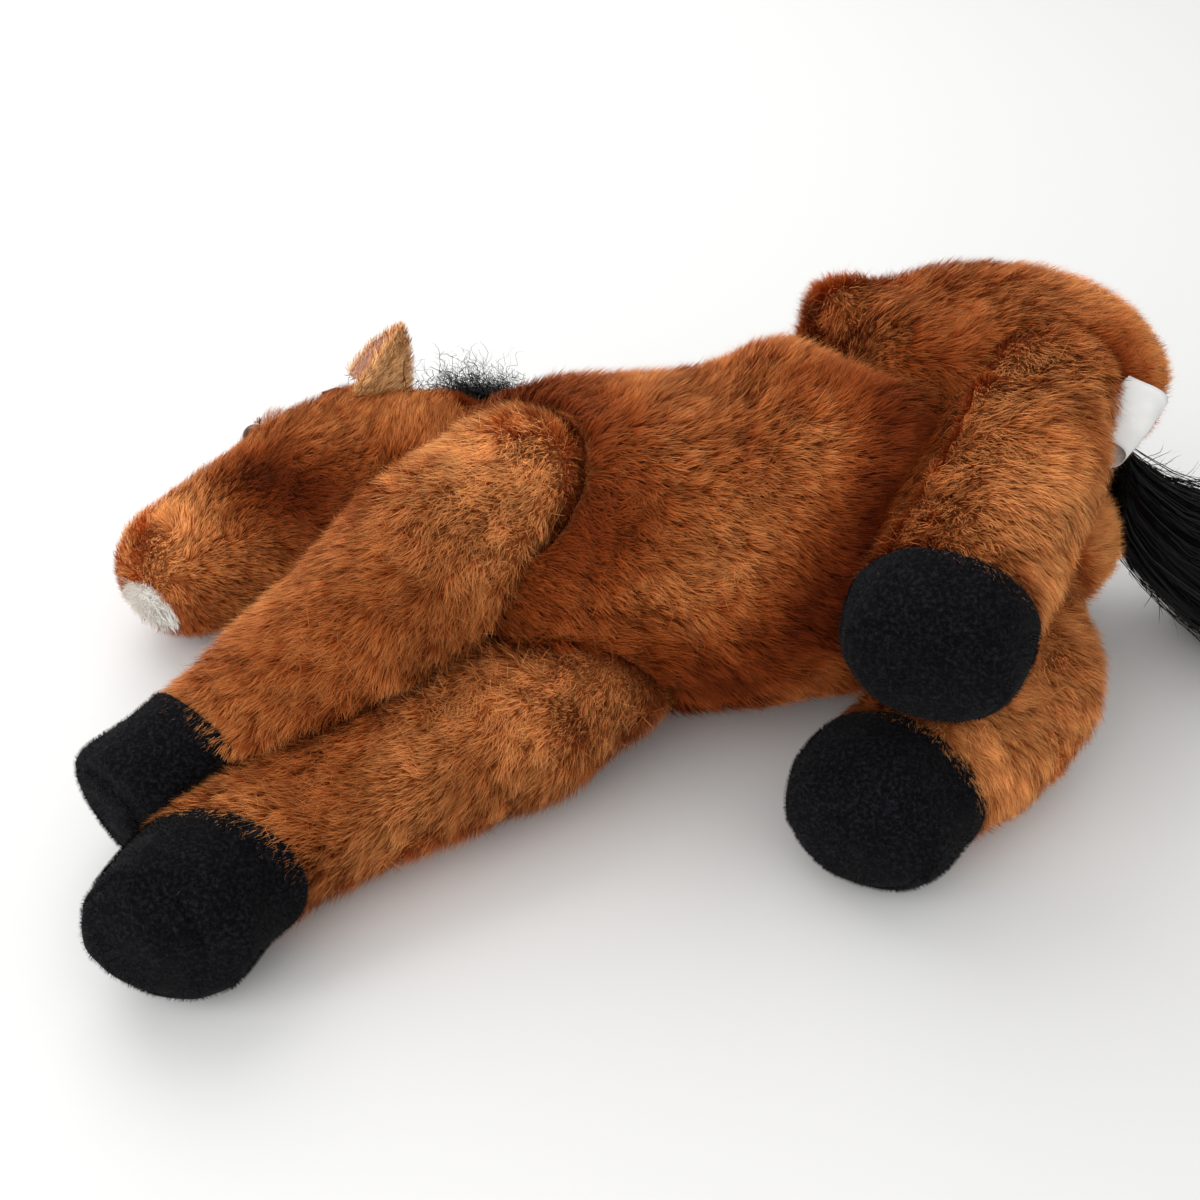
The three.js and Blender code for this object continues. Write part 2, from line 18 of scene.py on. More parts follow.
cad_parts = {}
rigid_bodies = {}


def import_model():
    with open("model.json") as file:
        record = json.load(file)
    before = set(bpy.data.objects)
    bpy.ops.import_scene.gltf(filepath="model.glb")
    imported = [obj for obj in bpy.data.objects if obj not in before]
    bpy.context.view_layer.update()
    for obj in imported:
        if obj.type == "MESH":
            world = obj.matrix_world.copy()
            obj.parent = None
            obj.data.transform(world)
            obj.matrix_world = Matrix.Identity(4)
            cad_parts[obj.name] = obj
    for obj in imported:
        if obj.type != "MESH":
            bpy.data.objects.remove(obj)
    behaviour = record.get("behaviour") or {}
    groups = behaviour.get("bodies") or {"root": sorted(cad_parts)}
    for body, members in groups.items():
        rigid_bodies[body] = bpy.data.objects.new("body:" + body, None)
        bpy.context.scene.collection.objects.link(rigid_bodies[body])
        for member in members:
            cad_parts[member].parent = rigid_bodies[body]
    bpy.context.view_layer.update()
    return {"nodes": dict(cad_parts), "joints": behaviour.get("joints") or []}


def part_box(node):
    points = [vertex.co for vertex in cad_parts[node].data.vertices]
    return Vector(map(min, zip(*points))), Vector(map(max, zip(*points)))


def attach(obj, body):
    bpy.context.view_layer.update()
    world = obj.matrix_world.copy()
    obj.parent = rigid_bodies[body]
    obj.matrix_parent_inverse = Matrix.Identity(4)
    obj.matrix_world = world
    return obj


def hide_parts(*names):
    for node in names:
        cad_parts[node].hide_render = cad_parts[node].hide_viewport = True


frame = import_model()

bl_info = {
    "name": "Plush horse",
    "version": (1, 0, 0),
    "blender": (4, 5, 0),
    "location": "3D View > Sidebar > Plush horse",
    "description": "Dresses the model of a plush horse with skins, pile, hooves, hair, eyes and a label",
    "category": "Object",
}

JOINTS = {joint["name"]: joint for joint in frame["joints"]}
LEGS = ("front_left", "front_right", "hind_left", "hind_right")
SIDES = ("left", "right")
TURN_JOINTS = {
    "front_left": "front_left_leg_lift",
    "front_right": "front_right_leg_swing",
    "hind_left": "hind_left_leg_lift",
    "hind_right": "hind_right_leg_swing",
}
MM = 0.001
MOST_TRIANGLES = 190000  # in one mesh of strands
FLOOR_GAP = 0.4 * MM  # the least that is left between soft pieces and the floor
SWELL_FRAMES = 20
TAIL_STEPS = 15  # points along a hair of the tail
LASHES = 24  # over each eye
HOOF_EXTRAS = {"front_left": 9 * MM, "front_right": 3 * MM}  # how far the velour runs on up the leg
EAR_WIDTHS = (1.0, 0.97, 0.88, 0.76, 0.62, 0.46, 0.28, 0.05)  # from root to tip
# The way up of each ear and the way that its hollow faces
EAR_WAYS = {
    "left": ((0.32, 0.2, 0.92), (-0.93, -0.16, 0.3)),
    "right": ((-0.1, 0.98, 0.16), (-0.99, -0.12, 0.1)),
}
# Corners in millimetres of the creases and the lump in the torso's skin
WAIST_CREASE = ((31, 64, 144), (37, 42, 154), (44, 20, 160), (56, 8, 160), (70, 2, 158), (82, -4, 155))
THIGH_CREASE = ((82, -4, 155), (76, -18, 149), (68, -32, 141), (58, -45, 131), (50, -58, 118))
HAUNCH_LUMP = ((48, 66, 150), (62, 40, 163), (74, 18, 166), (90, 8, 166))
LUMP_END = ((44, 72, 146), (52, 58, 154))
# Each of them with its depth, its width and how far it is pulled aside, in millimetres
TORSO_FOLDS = (
    (WAIST_CREASE, 20, 9, (0, 0, 0)),
    (THIGH_CREASE, 12, 9, (0, 0, 0)),
    (HAUNCH_LUMP, -5, 13, (-2, 0, 0)),
    (LUMP_END, -6, 14, (-6, 0, 2)),
)
TURNED_PLACE = (46, 70, 148)  # where the haunch's pile is brushed forwards, in millimetres
WHORL_PLACE = (-246, 18, 67)  # where the muzzle's pile turns about a point
# How much longer than its CAD node a hoof is
HOOF_STRETCHES = {"front_right": 1.2, "hind_right": 1.22, "hind_left": 1.05, "front_left": 1.03}
CHEEK_LINE = ((-211, 42, 76), (-191, 37, 74), (-165, 45, 90))
LABEL_SEAM, LABEL_WIDTH, LABEL_REACH = np.array([150, 6, 138.5]) * MM, 30 * MM, 23 * MM
LABEL_WAYS = ((0.636, 0.612, 0.47), (0.78, -0.3, -0.55))  # along its seam and out of the seam
MANE_LINE = ((-143, 98, 89), (-132, 104, 86), (-120, 112, 82))
# Painted light and shade: places in millimetres where the pile of a part is painted lighter or darker, how
# far each reaches and how much lighter its middle is, or darker where that is less than 0
LIGHT_AND_SHADE_ZONES = {
    "torso": (
        ((-40, -44, 131), 26, -0.2),
        ((-18, -64, 106), 26, 0.25),
        ((14, -72, 86), 34, -0.55),
        ((50, -17, 147), 16, -0.35),
        ((45, -42, 135), 17, -0.35),
        ((41, -60, 122), 18, -0.25),
        ((71, 26, 161), 26, -0.12),
        ((46, 68, 150), 22, 0.35),
        ((127, 29, 168), 36, 0.35),
        ((170, 60, 140), 40, 0.2),
        ((170, 8, 56), 40, 0.5),
    ),
    "head": (((-262, 18, 62), 26, 0.7), ((-235, 38, 72), 30, 0.15)),
    "front_left": (
        ((-108, -32, 142), 36, 0.32),
        ((-68, -30, 132), 24, 0.55),
        ((-80, -58, 122), 20, 0.3),
        ((-140, -60, 122), 18, -0.2),
    ),
    "front_right": (((-58, -90, 57), 30, 0.6), ((-125, -142, 22), 32, 0.35)),
    "hind_left": (((119, -64, 131), 26, 0.36), ((100, -8, 158), 26, 0.15)),
    "hind_right": (((144, -53, 63), 45, 0.4), ((120, -100, 45), 34, 0.35)),
}
# Painted light and shade: what the pile's colours are multiplied with, from where it is painted darkest to
# where it is painted lightest
PAINTED_LIGHT_FACTORS = ((0.36, 0.27, 0.25), (0.9, 0.86, 0.84), (1.3, 1.5, 1.65))
# No hair of the forelock rises past a plane that slopes down towards the back, and so the head hides it
FORELOCK_TOP, FORELOCK_SLOPE = 146 * MM, 0.64


class HorseSizes(bpy.types.PropertyGroup):
    """Sizes of the cloth, the pile and the hair."""

    voxel: FloatProperty(
        name="Voxel", description="Step of the remeshed skins", default=5.5 * MM, unit="LENGTH"
    )
    hoof_voxel: FloatProperty(
        name="Hoof voxel", description="Step of the remeshed hooves", default=2.8 * MM, unit="LENGTH"
    )
    inset: FloatProperty(
        name="Inset",
        description="How far the backing lies under the tips of the pile",
        default=6.0 * MM,
        unit="LENGTH",
    )
    swell: FloatProperty(
        name="Swell",
        description="The most that the filling pushes the backing out",
        default=2.5 * MM,
        unit="LENGTH",
    )
    pile: FloatProperty(name="Pile", description="Length of the pile", default=9.5 * MM, unit="LENGTH")
    strand: FloatProperty(
        name="Strand", description="Width of a strand of pile at its root", default=0.36 * MM, unit="LENGTH"
    )
    velour: FloatProperty(
        name="Velour", description="Length of the hooves' pile", default=1.6 * MM, unit="LENGTH"
    )
    hair: FloatProperty(name="Hair", description="Width of a hair", default=0.45 * MM, unit="LENGTH")
    seam: FloatProperty(
        name="Seam", description="Depth of the groove along a hoof's seam", default=1.1 * MM, unit="LENGTH"
    )
    ear_length: FloatProperty(name="Ear length", description="Root to tip", default=31 * MM, unit="LENGTH")
    ear_width: FloatProperty(
        name="Ear width", description="Across, laid flat", default=78 * MM, unit="LENGTH"
    )
    eye: FloatProperty(name="Eye", description="Radius of an eye", default=7.0 * MM, unit="LENGTH")
    patch: FloatProperty(
        name="Patch", description="Radius of the white patch on the muzzle", default=15.5 * MM, unit="LENGTH"
    )


class HorseCounts(bpy.types.PropertyGroup):
    """How many strands each piece has."""

    long_pile: FloatProperty(
        name="Long pile", description="Bent strands on a square millimetre", default=0.82
    )
    short_pile: FloatProperty(
        name="Short pile", description="Straight strands on a square millimetre", default=1.9
    )
    stray_pile: FloatProperty(
        name="Stray pile", description="Fine strays on a square millimetre", default=0.24
    )
    velour: FloatProperty(name="Velour", description="Strands on a square millimetre", default=1.4)
    tail_hairs: IntProperty(name="Tail hairs", description="Hairs in the tail", default=3100)
    mane_hairs: IntProperty(name="Mane hairs", description="Hairs in the mane", default=3000)
    forelock_hairs: IntProperty(name="Forelock hairs", description="Hairs in the forelock", default=700)


class HorseColours(bpy.types.PropertyGroup):
    """Colours of the cloth and the hair, as linear values."""

    root: FloatVectorProperty(
        name="Root", description="Pile at its root", subtype="COLOR", default=(0.24, 0.042, 0.006)
    )
    middle: FloatVectorProperty(
        name="Middle", description="Pile along its middle", subtype="COLOR", default=(0.42, 0.08, 0.012)
    )
    tip: FloatVectorProperty(
        name="Tip", description="Tips of the pile", subtype="COLOR", default=(0.74, 0.29, 0.085)
    )
    white: FloatVectorProperty(
        name="White", description="The patch on the muzzle", subtype="COLOR", default=(1.0, 0.97, 0.92)
    )
    velour: FloatVectorProperty(
        name="Velour", description="The hooves", subtype="COLOR", default=(0.0013, 0.0012, 0.0018)
    )
    hair: FloatVectorProperty(
        name="Hair", description="Mane and tail", subtype="COLOR", default=(0.0035, 0.0032, 0.0036)
    )
    lining: FloatVectorProperty(
        name="Lining", description="Inside of the ears", subtype="COLOR", default=(0.8, 0.4, 0.26)
    )
    iris: FloatVectorProperty(
        name="Iris", description="The eyes", subtype="COLOR", default=(0.14, 0.04, 0.013)
    )
    ribbon: FloatVectorProperty(
        name="Ribbon", description="The label", subtype="COLOR", default=(0.86, 0.86, 0.84)
    )


def sizes():
    return bpy.context.scene.horse_sizes


def counts():
    return bpy.context.scene.horse_counts


def colours():
    return bpy.context.scene.horse_colours


def thinning():
    return 1


# Random values that are the same in every run

def lattice(cells, seed):
    """Repeatable values from 0 to 1 for cells of a grid."""
    hashed = cells[..., 0] * 73856093 ^ cells[..., 1] * 19349663 ^ cells[..., 2] * 83492791 ^ seed * 97531
    hashed = (hashed ^ (hashed >> 13)) * 1274126177 & 0xFFFFFFFF
    return ((hashed ^ (hashed >> 16)) & 0xFFFF) / 0xFFFF


def drift(points, size, seed):
    """Values from -1 to 1 that change softly over that distance."""
    grid = points / size
    cell = np.floor(grid).astype(np.int64)
    part = grid - cell
    part = part * part * (3 - 2 * part)
    total = np.zeros(len(points))
    for corner in itertools.product((0, 1), repeat=3):
        weight = np.prod(np.where(corner, part, 1 - part), axis=1)
        total += weight * lattice(cell + corner, seed)
    return 2 * total - 1


def drift_vectors(points, size, seed):
    return np.stack([drift(points, size, seed + axis) for axis in range(3)], axis=1)


def tufts(points, size, seed):
    """The middle of the nearest tuft to each point, and a value of its own for each tuft."""
    cell = np.floor(points / size).astype(np.int64)
    nearest = np.full(len(points), np.inf)
    middles = np.zeros_like(points)
    values = np.zeros(len(points))
    for step in itertools.product((-1, 0, 1), repeat=3):
        here = cell + step
        spot = (here + np.stack([lattice(here, seed + axis) for axis in range(3)], axis=1)) * size
        distance = ((points - spot) ** 2).sum(axis=1)
        closer = distance < nearest
        nearest = np.where(closer, distance, nearest)
        middles[closer] = spot[closer]
        values[closer] = lattice(here, seed + 9)[closer]
    return middles, values


def unit(vectors):
    return vectors / np.maximum(np.linalg.norm(vectors, axis=-1, keepdims=True), 1e-12)


def bell(distance, reach):
    """From 1 at no distance down to 0 well beyond that reach."""
    return np.exp(-((distance / reach) ** 2))


def near(points, place, reach):
    """From 1 at that place down to 0 well beyond its reach."""
    return bell(np.linalg.norm(points - place, axis=1), reach)


def along_surface(vectors, normals):
    return vectors - (vectors * normals).sum(axis=1, keepdims=True) * normals


# Meshes

def pick(piece):
    """Selects this object alone."""
    bpy.ops.object.select_all(action="DESELECT")
    piece.select_set(True)
    bpy.context.view_layer.objects.active = piece


def apply_all(piece):
    pick(piece)
    for modifier in list(piece.modifiers):
        bpy.ops.object.modifier_apply(modifier=modifier.name)


def add_subdivision(piece, levels):
    rounded = piece.modifiers.new("Subdivision", "SUBSURF")
    rounded.levels = rounded.render_levels = levels


def placed(name, data):
    """A new object in the scene that holds this data."""
    piece = bpy.data.objects.new(name, data)
    bpy.context.scene.collection.objects.link(piece)
    return piece


def sheet_piece(name, grid, columns, flipped=False):
    """A smooth sheet through the points of a grid, which are given row by row."""
    faces = []
    for row in range(len(grid) // columns - 1):
        for column in range(columns - 1):
            first = row * columns + column
            face = (first, first + 1, first + 1 + columns, first + columns)
            faces.append(face[:1] + face[:0:-1] if flipped else face)
    mesh = bpy.data.meshes.new(name)
    mesh.from_pydata([tuple(point) for point in grid], [], faces)
    mesh.update()
    mesh.shade_smooth()
    return placed(name, mesh)


def copy_of(name, *nodes):
    """A new object that holds copies of these CAD nodes, with their doubles merged."""
    work = bmesh.new()
    for node in nodes:
        work.from_mesh(frame["nodes"][node].data)
    bmesh.ops.remove_doubles(work, verts=work.verts, dist=0.01 * MM)
    mesh = bpy.data.meshes.new(name)
    work.to_mesh(mesh)
    work.free()
    return placed(name, mesh)


def vectors_of(rows, title):
    values = np.empty(len(rows) * 3, np.float32)
    rows.foreach_get(title, values)
    return values.reshape(-1, 3).astype(float)


def points_of(mesh):
    return vectors_of(mesh.vertices, "co")


def normals_of(mesh):
    return vectors_of(mesh.vertex_normals, "vector")


def move_points(mesh, points):
    mesh.vertices.foreach_set("co", points.astype(np.float32).ravel())
    mesh.update()


def write_layer(mesh, title, values):
    """Gives each point of a mesh a number that materials read."""
    layer = mesh.attributes.new(title, "FLOAT", "POINT")
    layer.data.foreach_set("value", values.astype(np.float32))


def node_points(*nodes):
    return np.concatenate([points_of(frame["nodes"][node].data) for node in nodes])


def tree_of(*nodes):
    """A search tree over the faces of these CAD nodes."""
    corners, faces = [], []
    for node in nodes:
        mesh = frame["nodes"][node].data
        first = len(corners)
        corners += [vertex.co.copy() for vertex in mesh.vertices]
        faces += [[first + corner for corner in face.vertices] for face in mesh.polygons]
    return BVHTree.FromPolygons(corners, faces)


def distances(points, tree, furthest):
    """How far each point is from the faces of that tree, up to the furthest."""
    found = (tree.find_nearest(Vector(point), furthest)[3] for point in points)
    return np.array([furthest if distance is None else distance for distance in found])


def nearness(points, body, reach=14 * MM):
    """From 0 to 1 for points that lie close to the skins of other bodies."""
    skins = {"torso": ["torso_skin"], "head": ["neck_skin", "head_skin"]}
    skins.update({f"{leg}_leg": [f"{leg}_leg_skin", f"{leg}_hoof_wall"] for leg in LEGS})
    tree = tree_of(*(node for other, nodes in skins.items() if other != body for node in nodes))
    return (1 - distances(points, tree, reach) / reach) ** 0.7


def padded_skin(name, nodes, voxel, rounding=8, inset=None, body=None, folds=()):
    """The stuffed form of these CAD nodes, a little inside them, swollen by its filling. It comes nearer to
    its CAD surface where another body is close, and sinks in along its folds."""
    inset = sizes().inset if inset is None else inset
    skin = copy_of(name, *nodes)
    remesh = skin.modifiers.new("Remesh", "REMESH")
    remesh.mode = "VOXEL"
    remesh.voxel_size = voxel
    rounded = skin.modifiers.new("Smooth", "SMOOTH")
    rounded.factor = 0.5
    rounded.iterations = rounding
    apply_all(skin)
    mesh = skin.data
    points, normals = points_of(mesh), normals_of(mesh)
    inset = np.full((len(points), 1), inset)
    if body:
        inset *= 1 - 0.75 * nearness(points, body)[:, None]
    move_points(mesh, points - normals * inset)
    start = points_of(mesh)
    swell(skin)
    moved = points_of(mesh) - start
    reach = np.linalg.norm(moved, axis=1, keepdims=True)
    moved *= np.minimum(1, sizes().swell / np.maximum(reach, 1e-9))
    move_points(mesh, start + moved)
    add_subdivision(skin, 1)
    apply_all(skin)
    mesh = skin.data
    points, normals = points_of(mesh), normals_of(mesh)
    for line, depth, width, pull in folds:
        share = bell(to_line(points, np.array(line) * MM), width * MM)[:, None]
        points += (np.array(pull) - normals * depth) * MM * share
    points[:, 2] = np.maximum(points[:, 2], FLOOR_GAP)
    move_points(mesh, points)
    mesh.shade_smooth()
    return skin


def to_line(points, line):
    """How far each point is from a line through these corners."""
    nearest = np.full(len(points), np.inf)
    for start, end in zip(line[:-1], line[1:]):
        way = end - start
        share = np.clip((points - start) @ way / (way @ way), 0, 1)
        nearest = np.minimum(nearest, np.linalg.norm(points - start - share[:, None] * way, axis=1))
    return nearest


def swell(skin):
    """The filling's pressure, worked out by a cloth simulation that is then applied."""
    cloth = skin.modifiers.new("Cloth", "CLOTH")
    cloth.settings.quality = 5
    cloth.settings.mass = 0.3
    cloth.settings.tension_stiffness = 15
    cloth.settings.compression_stiffness = 15
    cloth.settings.bending_stiffness = 0.5
    cloth.settings.use_pressure = True
    cloth.settings.uniform_pressure_force = 4
    cloth.settings.effector_weights.gravity = 0
    cloth.collision_settings.use_collision = False
    cloth.point_cache.frame_start = 1
    cloth.point_cache.frame_end = SWELL_FRAMES
    for step in range(1, SWELL_FRAMES + 1):
        bpy.context.scene.frame_set(step)
    pick(skin)
    bpy.ops.object.modifier_apply(modifier=cloth.name)
    bpy.context.scene.frame_set(1)


def keep_side(piece, point, normal):
    """Cuts a closed piece at a plane, keeps what lies behind the plane and closes it."""
    pick(piece)
    bpy.ops.object.mode_set(mode="EDIT")
    bpy.ops.mesh.select_all(action="SELECT")
    bpy.ops.mesh.bisect(
        plane_co=tuple(point), plane_no=tuple(normal), use_fill=True, clear_outer=True, threshold=0.01 * MM
    )
    bpy.ops.object.mode_set(mode="OBJECT")


def duplicate(piece, name):
    other = piece.copy()
    other.data = piece.data.copy()
    other.name = other.data.name = name
    bpy.context.scene.collection.objects.link(other)
    return other


# Strands

class Surface:
    """The triangles of pieces, to plant strands on."""

    def __init__(self, *planted):
        corners, normals = [], []
        for piece in planted:
            mesh = piece.data
            mesh.calc_loop_triangles()
            triangles = np.empty(len(mesh.loop_triangles) * 3, np.int32)
            mesh.loop_triangles.foreach_get("vertices", triangles)
            triangles = triangles.reshape(-1, 3)
            corners.append(points_of(mesh)[triangles])
            normals.append(normals_of(mesh)[triangles])
        self.corners = np.concatenate(corners)
        self.normals = np.concatenate(normals)
        sides = np.cross(self.corners[:, 1] - self.corners[:, 0], self.corners[:, 2] - self.corners[:, 0])
        self.areas = np.linalg.norm(sides, axis=1) / 2

    def keep(self, wanted):
        self.corners = self.corners[wanted]
        self.normals = self.normals[wanted]
        self.areas = self.areas[wanted]

    def middles(self):
        return self.corners.mean(axis=1), unit(self.normals.mean(axis=1))

    def plant(self, density, seed):
        """Roots spread evenly over the surface, with the normal at each. Density is for a square
        millimetre."""
        random = np.random.default_rng(seed)
        total = self.areas.sum()
        count = int(total / MM**2 * density / thinning())
        places = (np.arange(count) + random.random(count)) / count * total
        face = np.minimum(np.searchsorted(np.cumsum(self.areas), places), len(self.areas) - 1)
        a, b = random.random((2, count))
        folded = a + b > 1
        a[folded], b[folded] = 1 - a[folded], 1 - b[folded]
        weights = np.stack([1 - a - b, a, b], axis=1)[:, :, None]
        return (self.corners[face] * weights).sum(axis=1), unit((self.normals[face] * weights).sum(axis=1))


def hidden_by(surface, *others, within=3.5 * MM):
    """Which triangles face another piece so closely that nothing planted there shows."""
    trees = [
        BVHTree.FromPolygons(
            [vertex.co for vertex in other.data.vertices], [face.vertices for face in other.data.polygons]
        )
        for other in others
    ]
    middles, normals = surface.middles()
    covered = np.zeros(len(middles), bool)
    for i, (middle, normal) in enumerate(zip(middles, normals)):
        start = Vector(middle) - Vector(normal) * 0.3 * MM
        covered[i] = any(tree.ray_cast(start, Vector(normal), within)[0] is not None for tree in trees)
    return covered


def strand_mesh(name, lines, widths, across, values, shading=None):
    """One mesh of ribbons. Lines holds the points of each strand from root to tip, and a ribbon narrows
    to nothing there. Values are numbers for each strand that its material reads, and shading holds the
    normals that the light sees."""
    count, steps, _ = lines.shape
    half = across * widths[:, :-1, None] / 2
    body = lines[:, :-1]
    points = np.empty((count, 2 * (steps - 1) + 1, 3), np.float32)
    points[:, 0:-1:2] = body - half
    points[:, 1:-1:2] = body + half
    points[:, -1] = lines[:, -1]
    each = points.shape[1]
    faces = []
    for step in range(steps - 2):
        low = 2 * step
        faces += [(low, low + 1, low + 3), (low, low + 3, low + 2)]
    faces.append((each - 3, each - 2, each - 1))
    faces = np.array(faces, np.int32)
    corners = (faces[None] + (np.arange(count, dtype=np.int32) * each)[:, None, None]).reshape(-1)
    mesh = bpy.data.meshes.new(name)
    mesh.vertices.add(count * each)
    mesh.vertices.foreach_set("co", points.ravel())
    mesh.loops.add(len(corners))
    mesh.loops.foreach_set("vertex_index", corners)
    mesh.polygons.add(len(corners) // 3)
    mesh.polygons.foreach_set("loop_start", np.arange(0, len(corners), 3, dtype=np.int32))
    mesh.update(calc_edges=True)
    mesh.shade_smooth()
    if shading is not None:
        turned = np.repeat(shading, 2, axis=1)[:, :-1].reshape(-1, 3)
        mesh.normals_split_custom_set_from_vertices(turned.astype(np.float32))
    along = np.repeat(np.linspace(0, 1, steps), 2)[:-1]
    for title, each_value in {"along": np.tile(along, count), **values}.items():
        write_layer(mesh, title, np.repeat(each_value, each) if len(each_value) == count else each_value)
    return placed(name, mesh)


def pile(
    name, surface, flow, length, seed, coats, made, slot, body, lift=0.85, tuft=6.5 * MM, white=None,
    shade=None, glow=0.0
):
    """The pile of a plush skin. Flow gives the way that it is brushed at each root, and each coat has its
    density, its strands' width, their share of the length and how many points each has. White is 1 where
    the pile is white, and shade is painted light and shade, from 0 where the pile is painted darkest to 1
    where it is painted lightest. Glow turns the normals that the light sees upwards, as light that comes
    through thin cloth would."""
    for coat, (density, width, share, steps) in enumerate(coats):
        random = np.random.default_rng(seed + coat)
        roots, normals = surface.plant(density, seed + coat)
        count, bent = len(roots), steps == 3
        # The way that each strand is brushed: with its surroundings, with its tuft and on its own
        brushed = along_surface(flow(roots, normals), normals)
        stray = unit(random.normal(size=(count, 3)))
        wild = 1.2 if width < 0.7 * sizes().strand else 0.35
        middles, tint = tufts(roots, tuft, seed + 40)
        lean = 0.6 * drift_vectors(roots, 22 * MM, seed + 20)
        lean = lean + 0.6 * drift_vectors(middles, 0.6 * tuft, seed + 30)
        brushed = unit(along_surface(unit(brushed) + lean + wild * stray, normals))
        # How long it is, how steeply it rises, and where it bends and ends
        clump, fine = tufts(roots, tuft / 2.4, seed + 60)
        # Painted light: strands near the middle of their tuft are painted lighter than those at its edges
        painted_tuft_light = np.clip(1 - np.linalg.norm(middles - roots, axis=1) / (0.75 * tuft), 0, 1)
        reach = length(roots) * share * (0.8 + 0.2 * tint + 0.3 * random.random(count))
        rise = lift * (0.85 + 0.5 * drift(roots, 13 * MM, seed + 70) + 0.3 * random.random(count))
        rise = np.clip(rise, 0.15, 1.3)[:, None]
        first = unit(brushed * 0.6 + normals * rise * 1.25)
        second = unit(brushed + normals * rise * 0.75)
        gather = 0.16 * (middles - roots) + (0.3 + 0.35 * fine)[:, None] * (clump - roots)
        pull = along_surface(gather, normals) * (0.3 if wild > 1 else 1)
        bend = roots + first * (reach * 0.5)[:, None] + pull * 0.45
        tip = bend + second * (reach * 0.55)[:, None] + pull * 0.55
        base = roots - normals * 0.4 * MM
        lines = np.stack([base, bend, tip] if bent else [base, tip], axis=1)
        lines[:, 1:, 2] = np.maximum(lines[:, 1:, 2], 0.25 * MM)
        # Which way its ribbon is turned, how wide that is, and how the light sees it
        roll = random.normal(scale=0.5, size=(count, 1))
        across = unit(np.cross(brushed, normals) * np.cos(roll) + normals * np.sin(roll))
        facing = (np.cross(across, tip - base) * normals).sum(axis=1, keepdims=True)
        across *= np.where(facing < 0, -1, 1)
        taper = np.array([[1.0, 0.8, 0.0] if bent else [1.0, 0.0]])
        widths = width * (0.7 + 0.6 * random.random((count, 1))) * taper * 1
        lying = unit(tip - base)
        lit = unit(normals - 0.8 * (normals * lying).sum(axis=1, keepdims=True) * lying)
        lit = unit(lit + 0.22 * stray + glow * np.array([0, 0, 1]))
        # Shade carries the painted light and shade; tint adds painted light at the middles of tufts to each
        # tuft's own tone
        values = {
            "tint": 0.3 * tint + 0.2 * fine + 0.2 * random.random(count) + 0.3 * painted_tuft_light,
            "shade": np.full(count, 0.75) if shade is None else np.clip(shade(roots), 0, 1),
            "patch": np.zeros(count) if white is None else white(roots),
        }
        parts = max(1, math.ceil(count * (2 * steps - 3) / MOST_TRIANGLES))
        shares = np.array_split(np.argsort(roots[:, 0], kind="stable"), parts)
        for number, chosen in enumerate(shares):
            piece = strand_mesh(
                f"{name}_{coat + 1}_{number + 1}",
                lines[chosen],
                widths[chosen],
                across[chosen][:, None, :],
                {title: value[chosen] for title, value in values.items()},
                np.repeat(lit[chosen][:, None], steps, axis=1),
            )
            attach(give(piece, made, slot), body)


# Materials

class Paint:
    """A new material, its nodes and what they give."""

    def __init__(self, name):
        self.made = bpy.data.materials.new(name)
        self.made.use_nodes = True
        self.nodes = self.made.node_tree.nodes
        self.links = self.made.node_tree.links
        self.shader = self.nodes["Principled BSDF"]

    def fill(self, socket, value):
        """Gives a socket a number, a colour or what another node gives."""
        if isinstance(value, bpy.types.NodeSocket):
            self.links.new(value, socket)
        else:
            socket.default_value = (*value, 1) if isinstance(value, tuple) else value

    def attribute(self, title):
        node = self.nodes.new("ShaderNodeAttribute")
        node.attribute_name = title
        return node.outputs["Fac"]

    def ramp(self, value, *stops):
        node = self.nodes.new("ShaderNodeValToRGB")
        self.links.new(value, node.inputs["Fac"])
        elements = node.color_ramp.elements
        while len(elements) < len(stops):
            elements.new(0.5)
        for element, (place, colour) in zip(elements, stops):
            element.position = place
            element.color = (*colour, 1)
        return node.outputs["Color"]

    def mixed(self, mode, factor, first, second):
        node = self.nodes.new("ShaderNodeMix")
        node.data_type = "RGBA"
        node.blend_type = mode
        self.fill(node.inputs["Factor"], factor)
        self.fill(node.inputs[6], first)
        self.fill(node.inputs[7], second)
        return node.outputs[2]

    def calculated(self, operation, *values):
        """A number worked out from other numbers."""
        node = self.nodes.new("ShaderNodeMath")
        node.operation = operation
        for socket, value in zip(node.inputs, values):
            self.fill(socket, value)
        return node.outputs[0]

    def texture(self, kind, **levels):
        """A texture over the piece, laid by the piece's own axes."""
        place = self.nodes.new("ShaderNodeTexCoord")
        node = self.nodes.new(kind)
        for title, level in levels.items():
            node.inputs[title].default_value = level
        self.links.new(place.outputs["Object"], node.inputs["Vector"])
        return node.outputs["Fac"]

    def noise(self, scale, detail=4.0, roughness=0.55):
        return self.texture("ShaderNodeTexNoise", Scale=scale, Detail=detail, Roughness=roughness)

    def raised(self, strength, distance, height):
        """Lets the light see a relief of that height."""
        node = self.nodes.new("ShaderNodeBump")
        node.inputs["Strength"].default_value = strength
        node.inputs["Distance"].default_value = distance
        self.links.new(height, node.inputs["Height"])
        self.links.new(node.outputs["Normal"], self.shader.inputs["Normal"])

    def finished(self, tone, levels):
        """The material with this colour and these levels of its shader."""
        for title, value in {"Base Color": tone, **levels}.items():
            self.fill(self.shader.inputs[title], value)
        return self.made


def grey(value):
    return (value, value, value)


def toned(colour, factor):
    """A darker or lighter form of a colour."""
    return tuple(factor * part for part in colour)


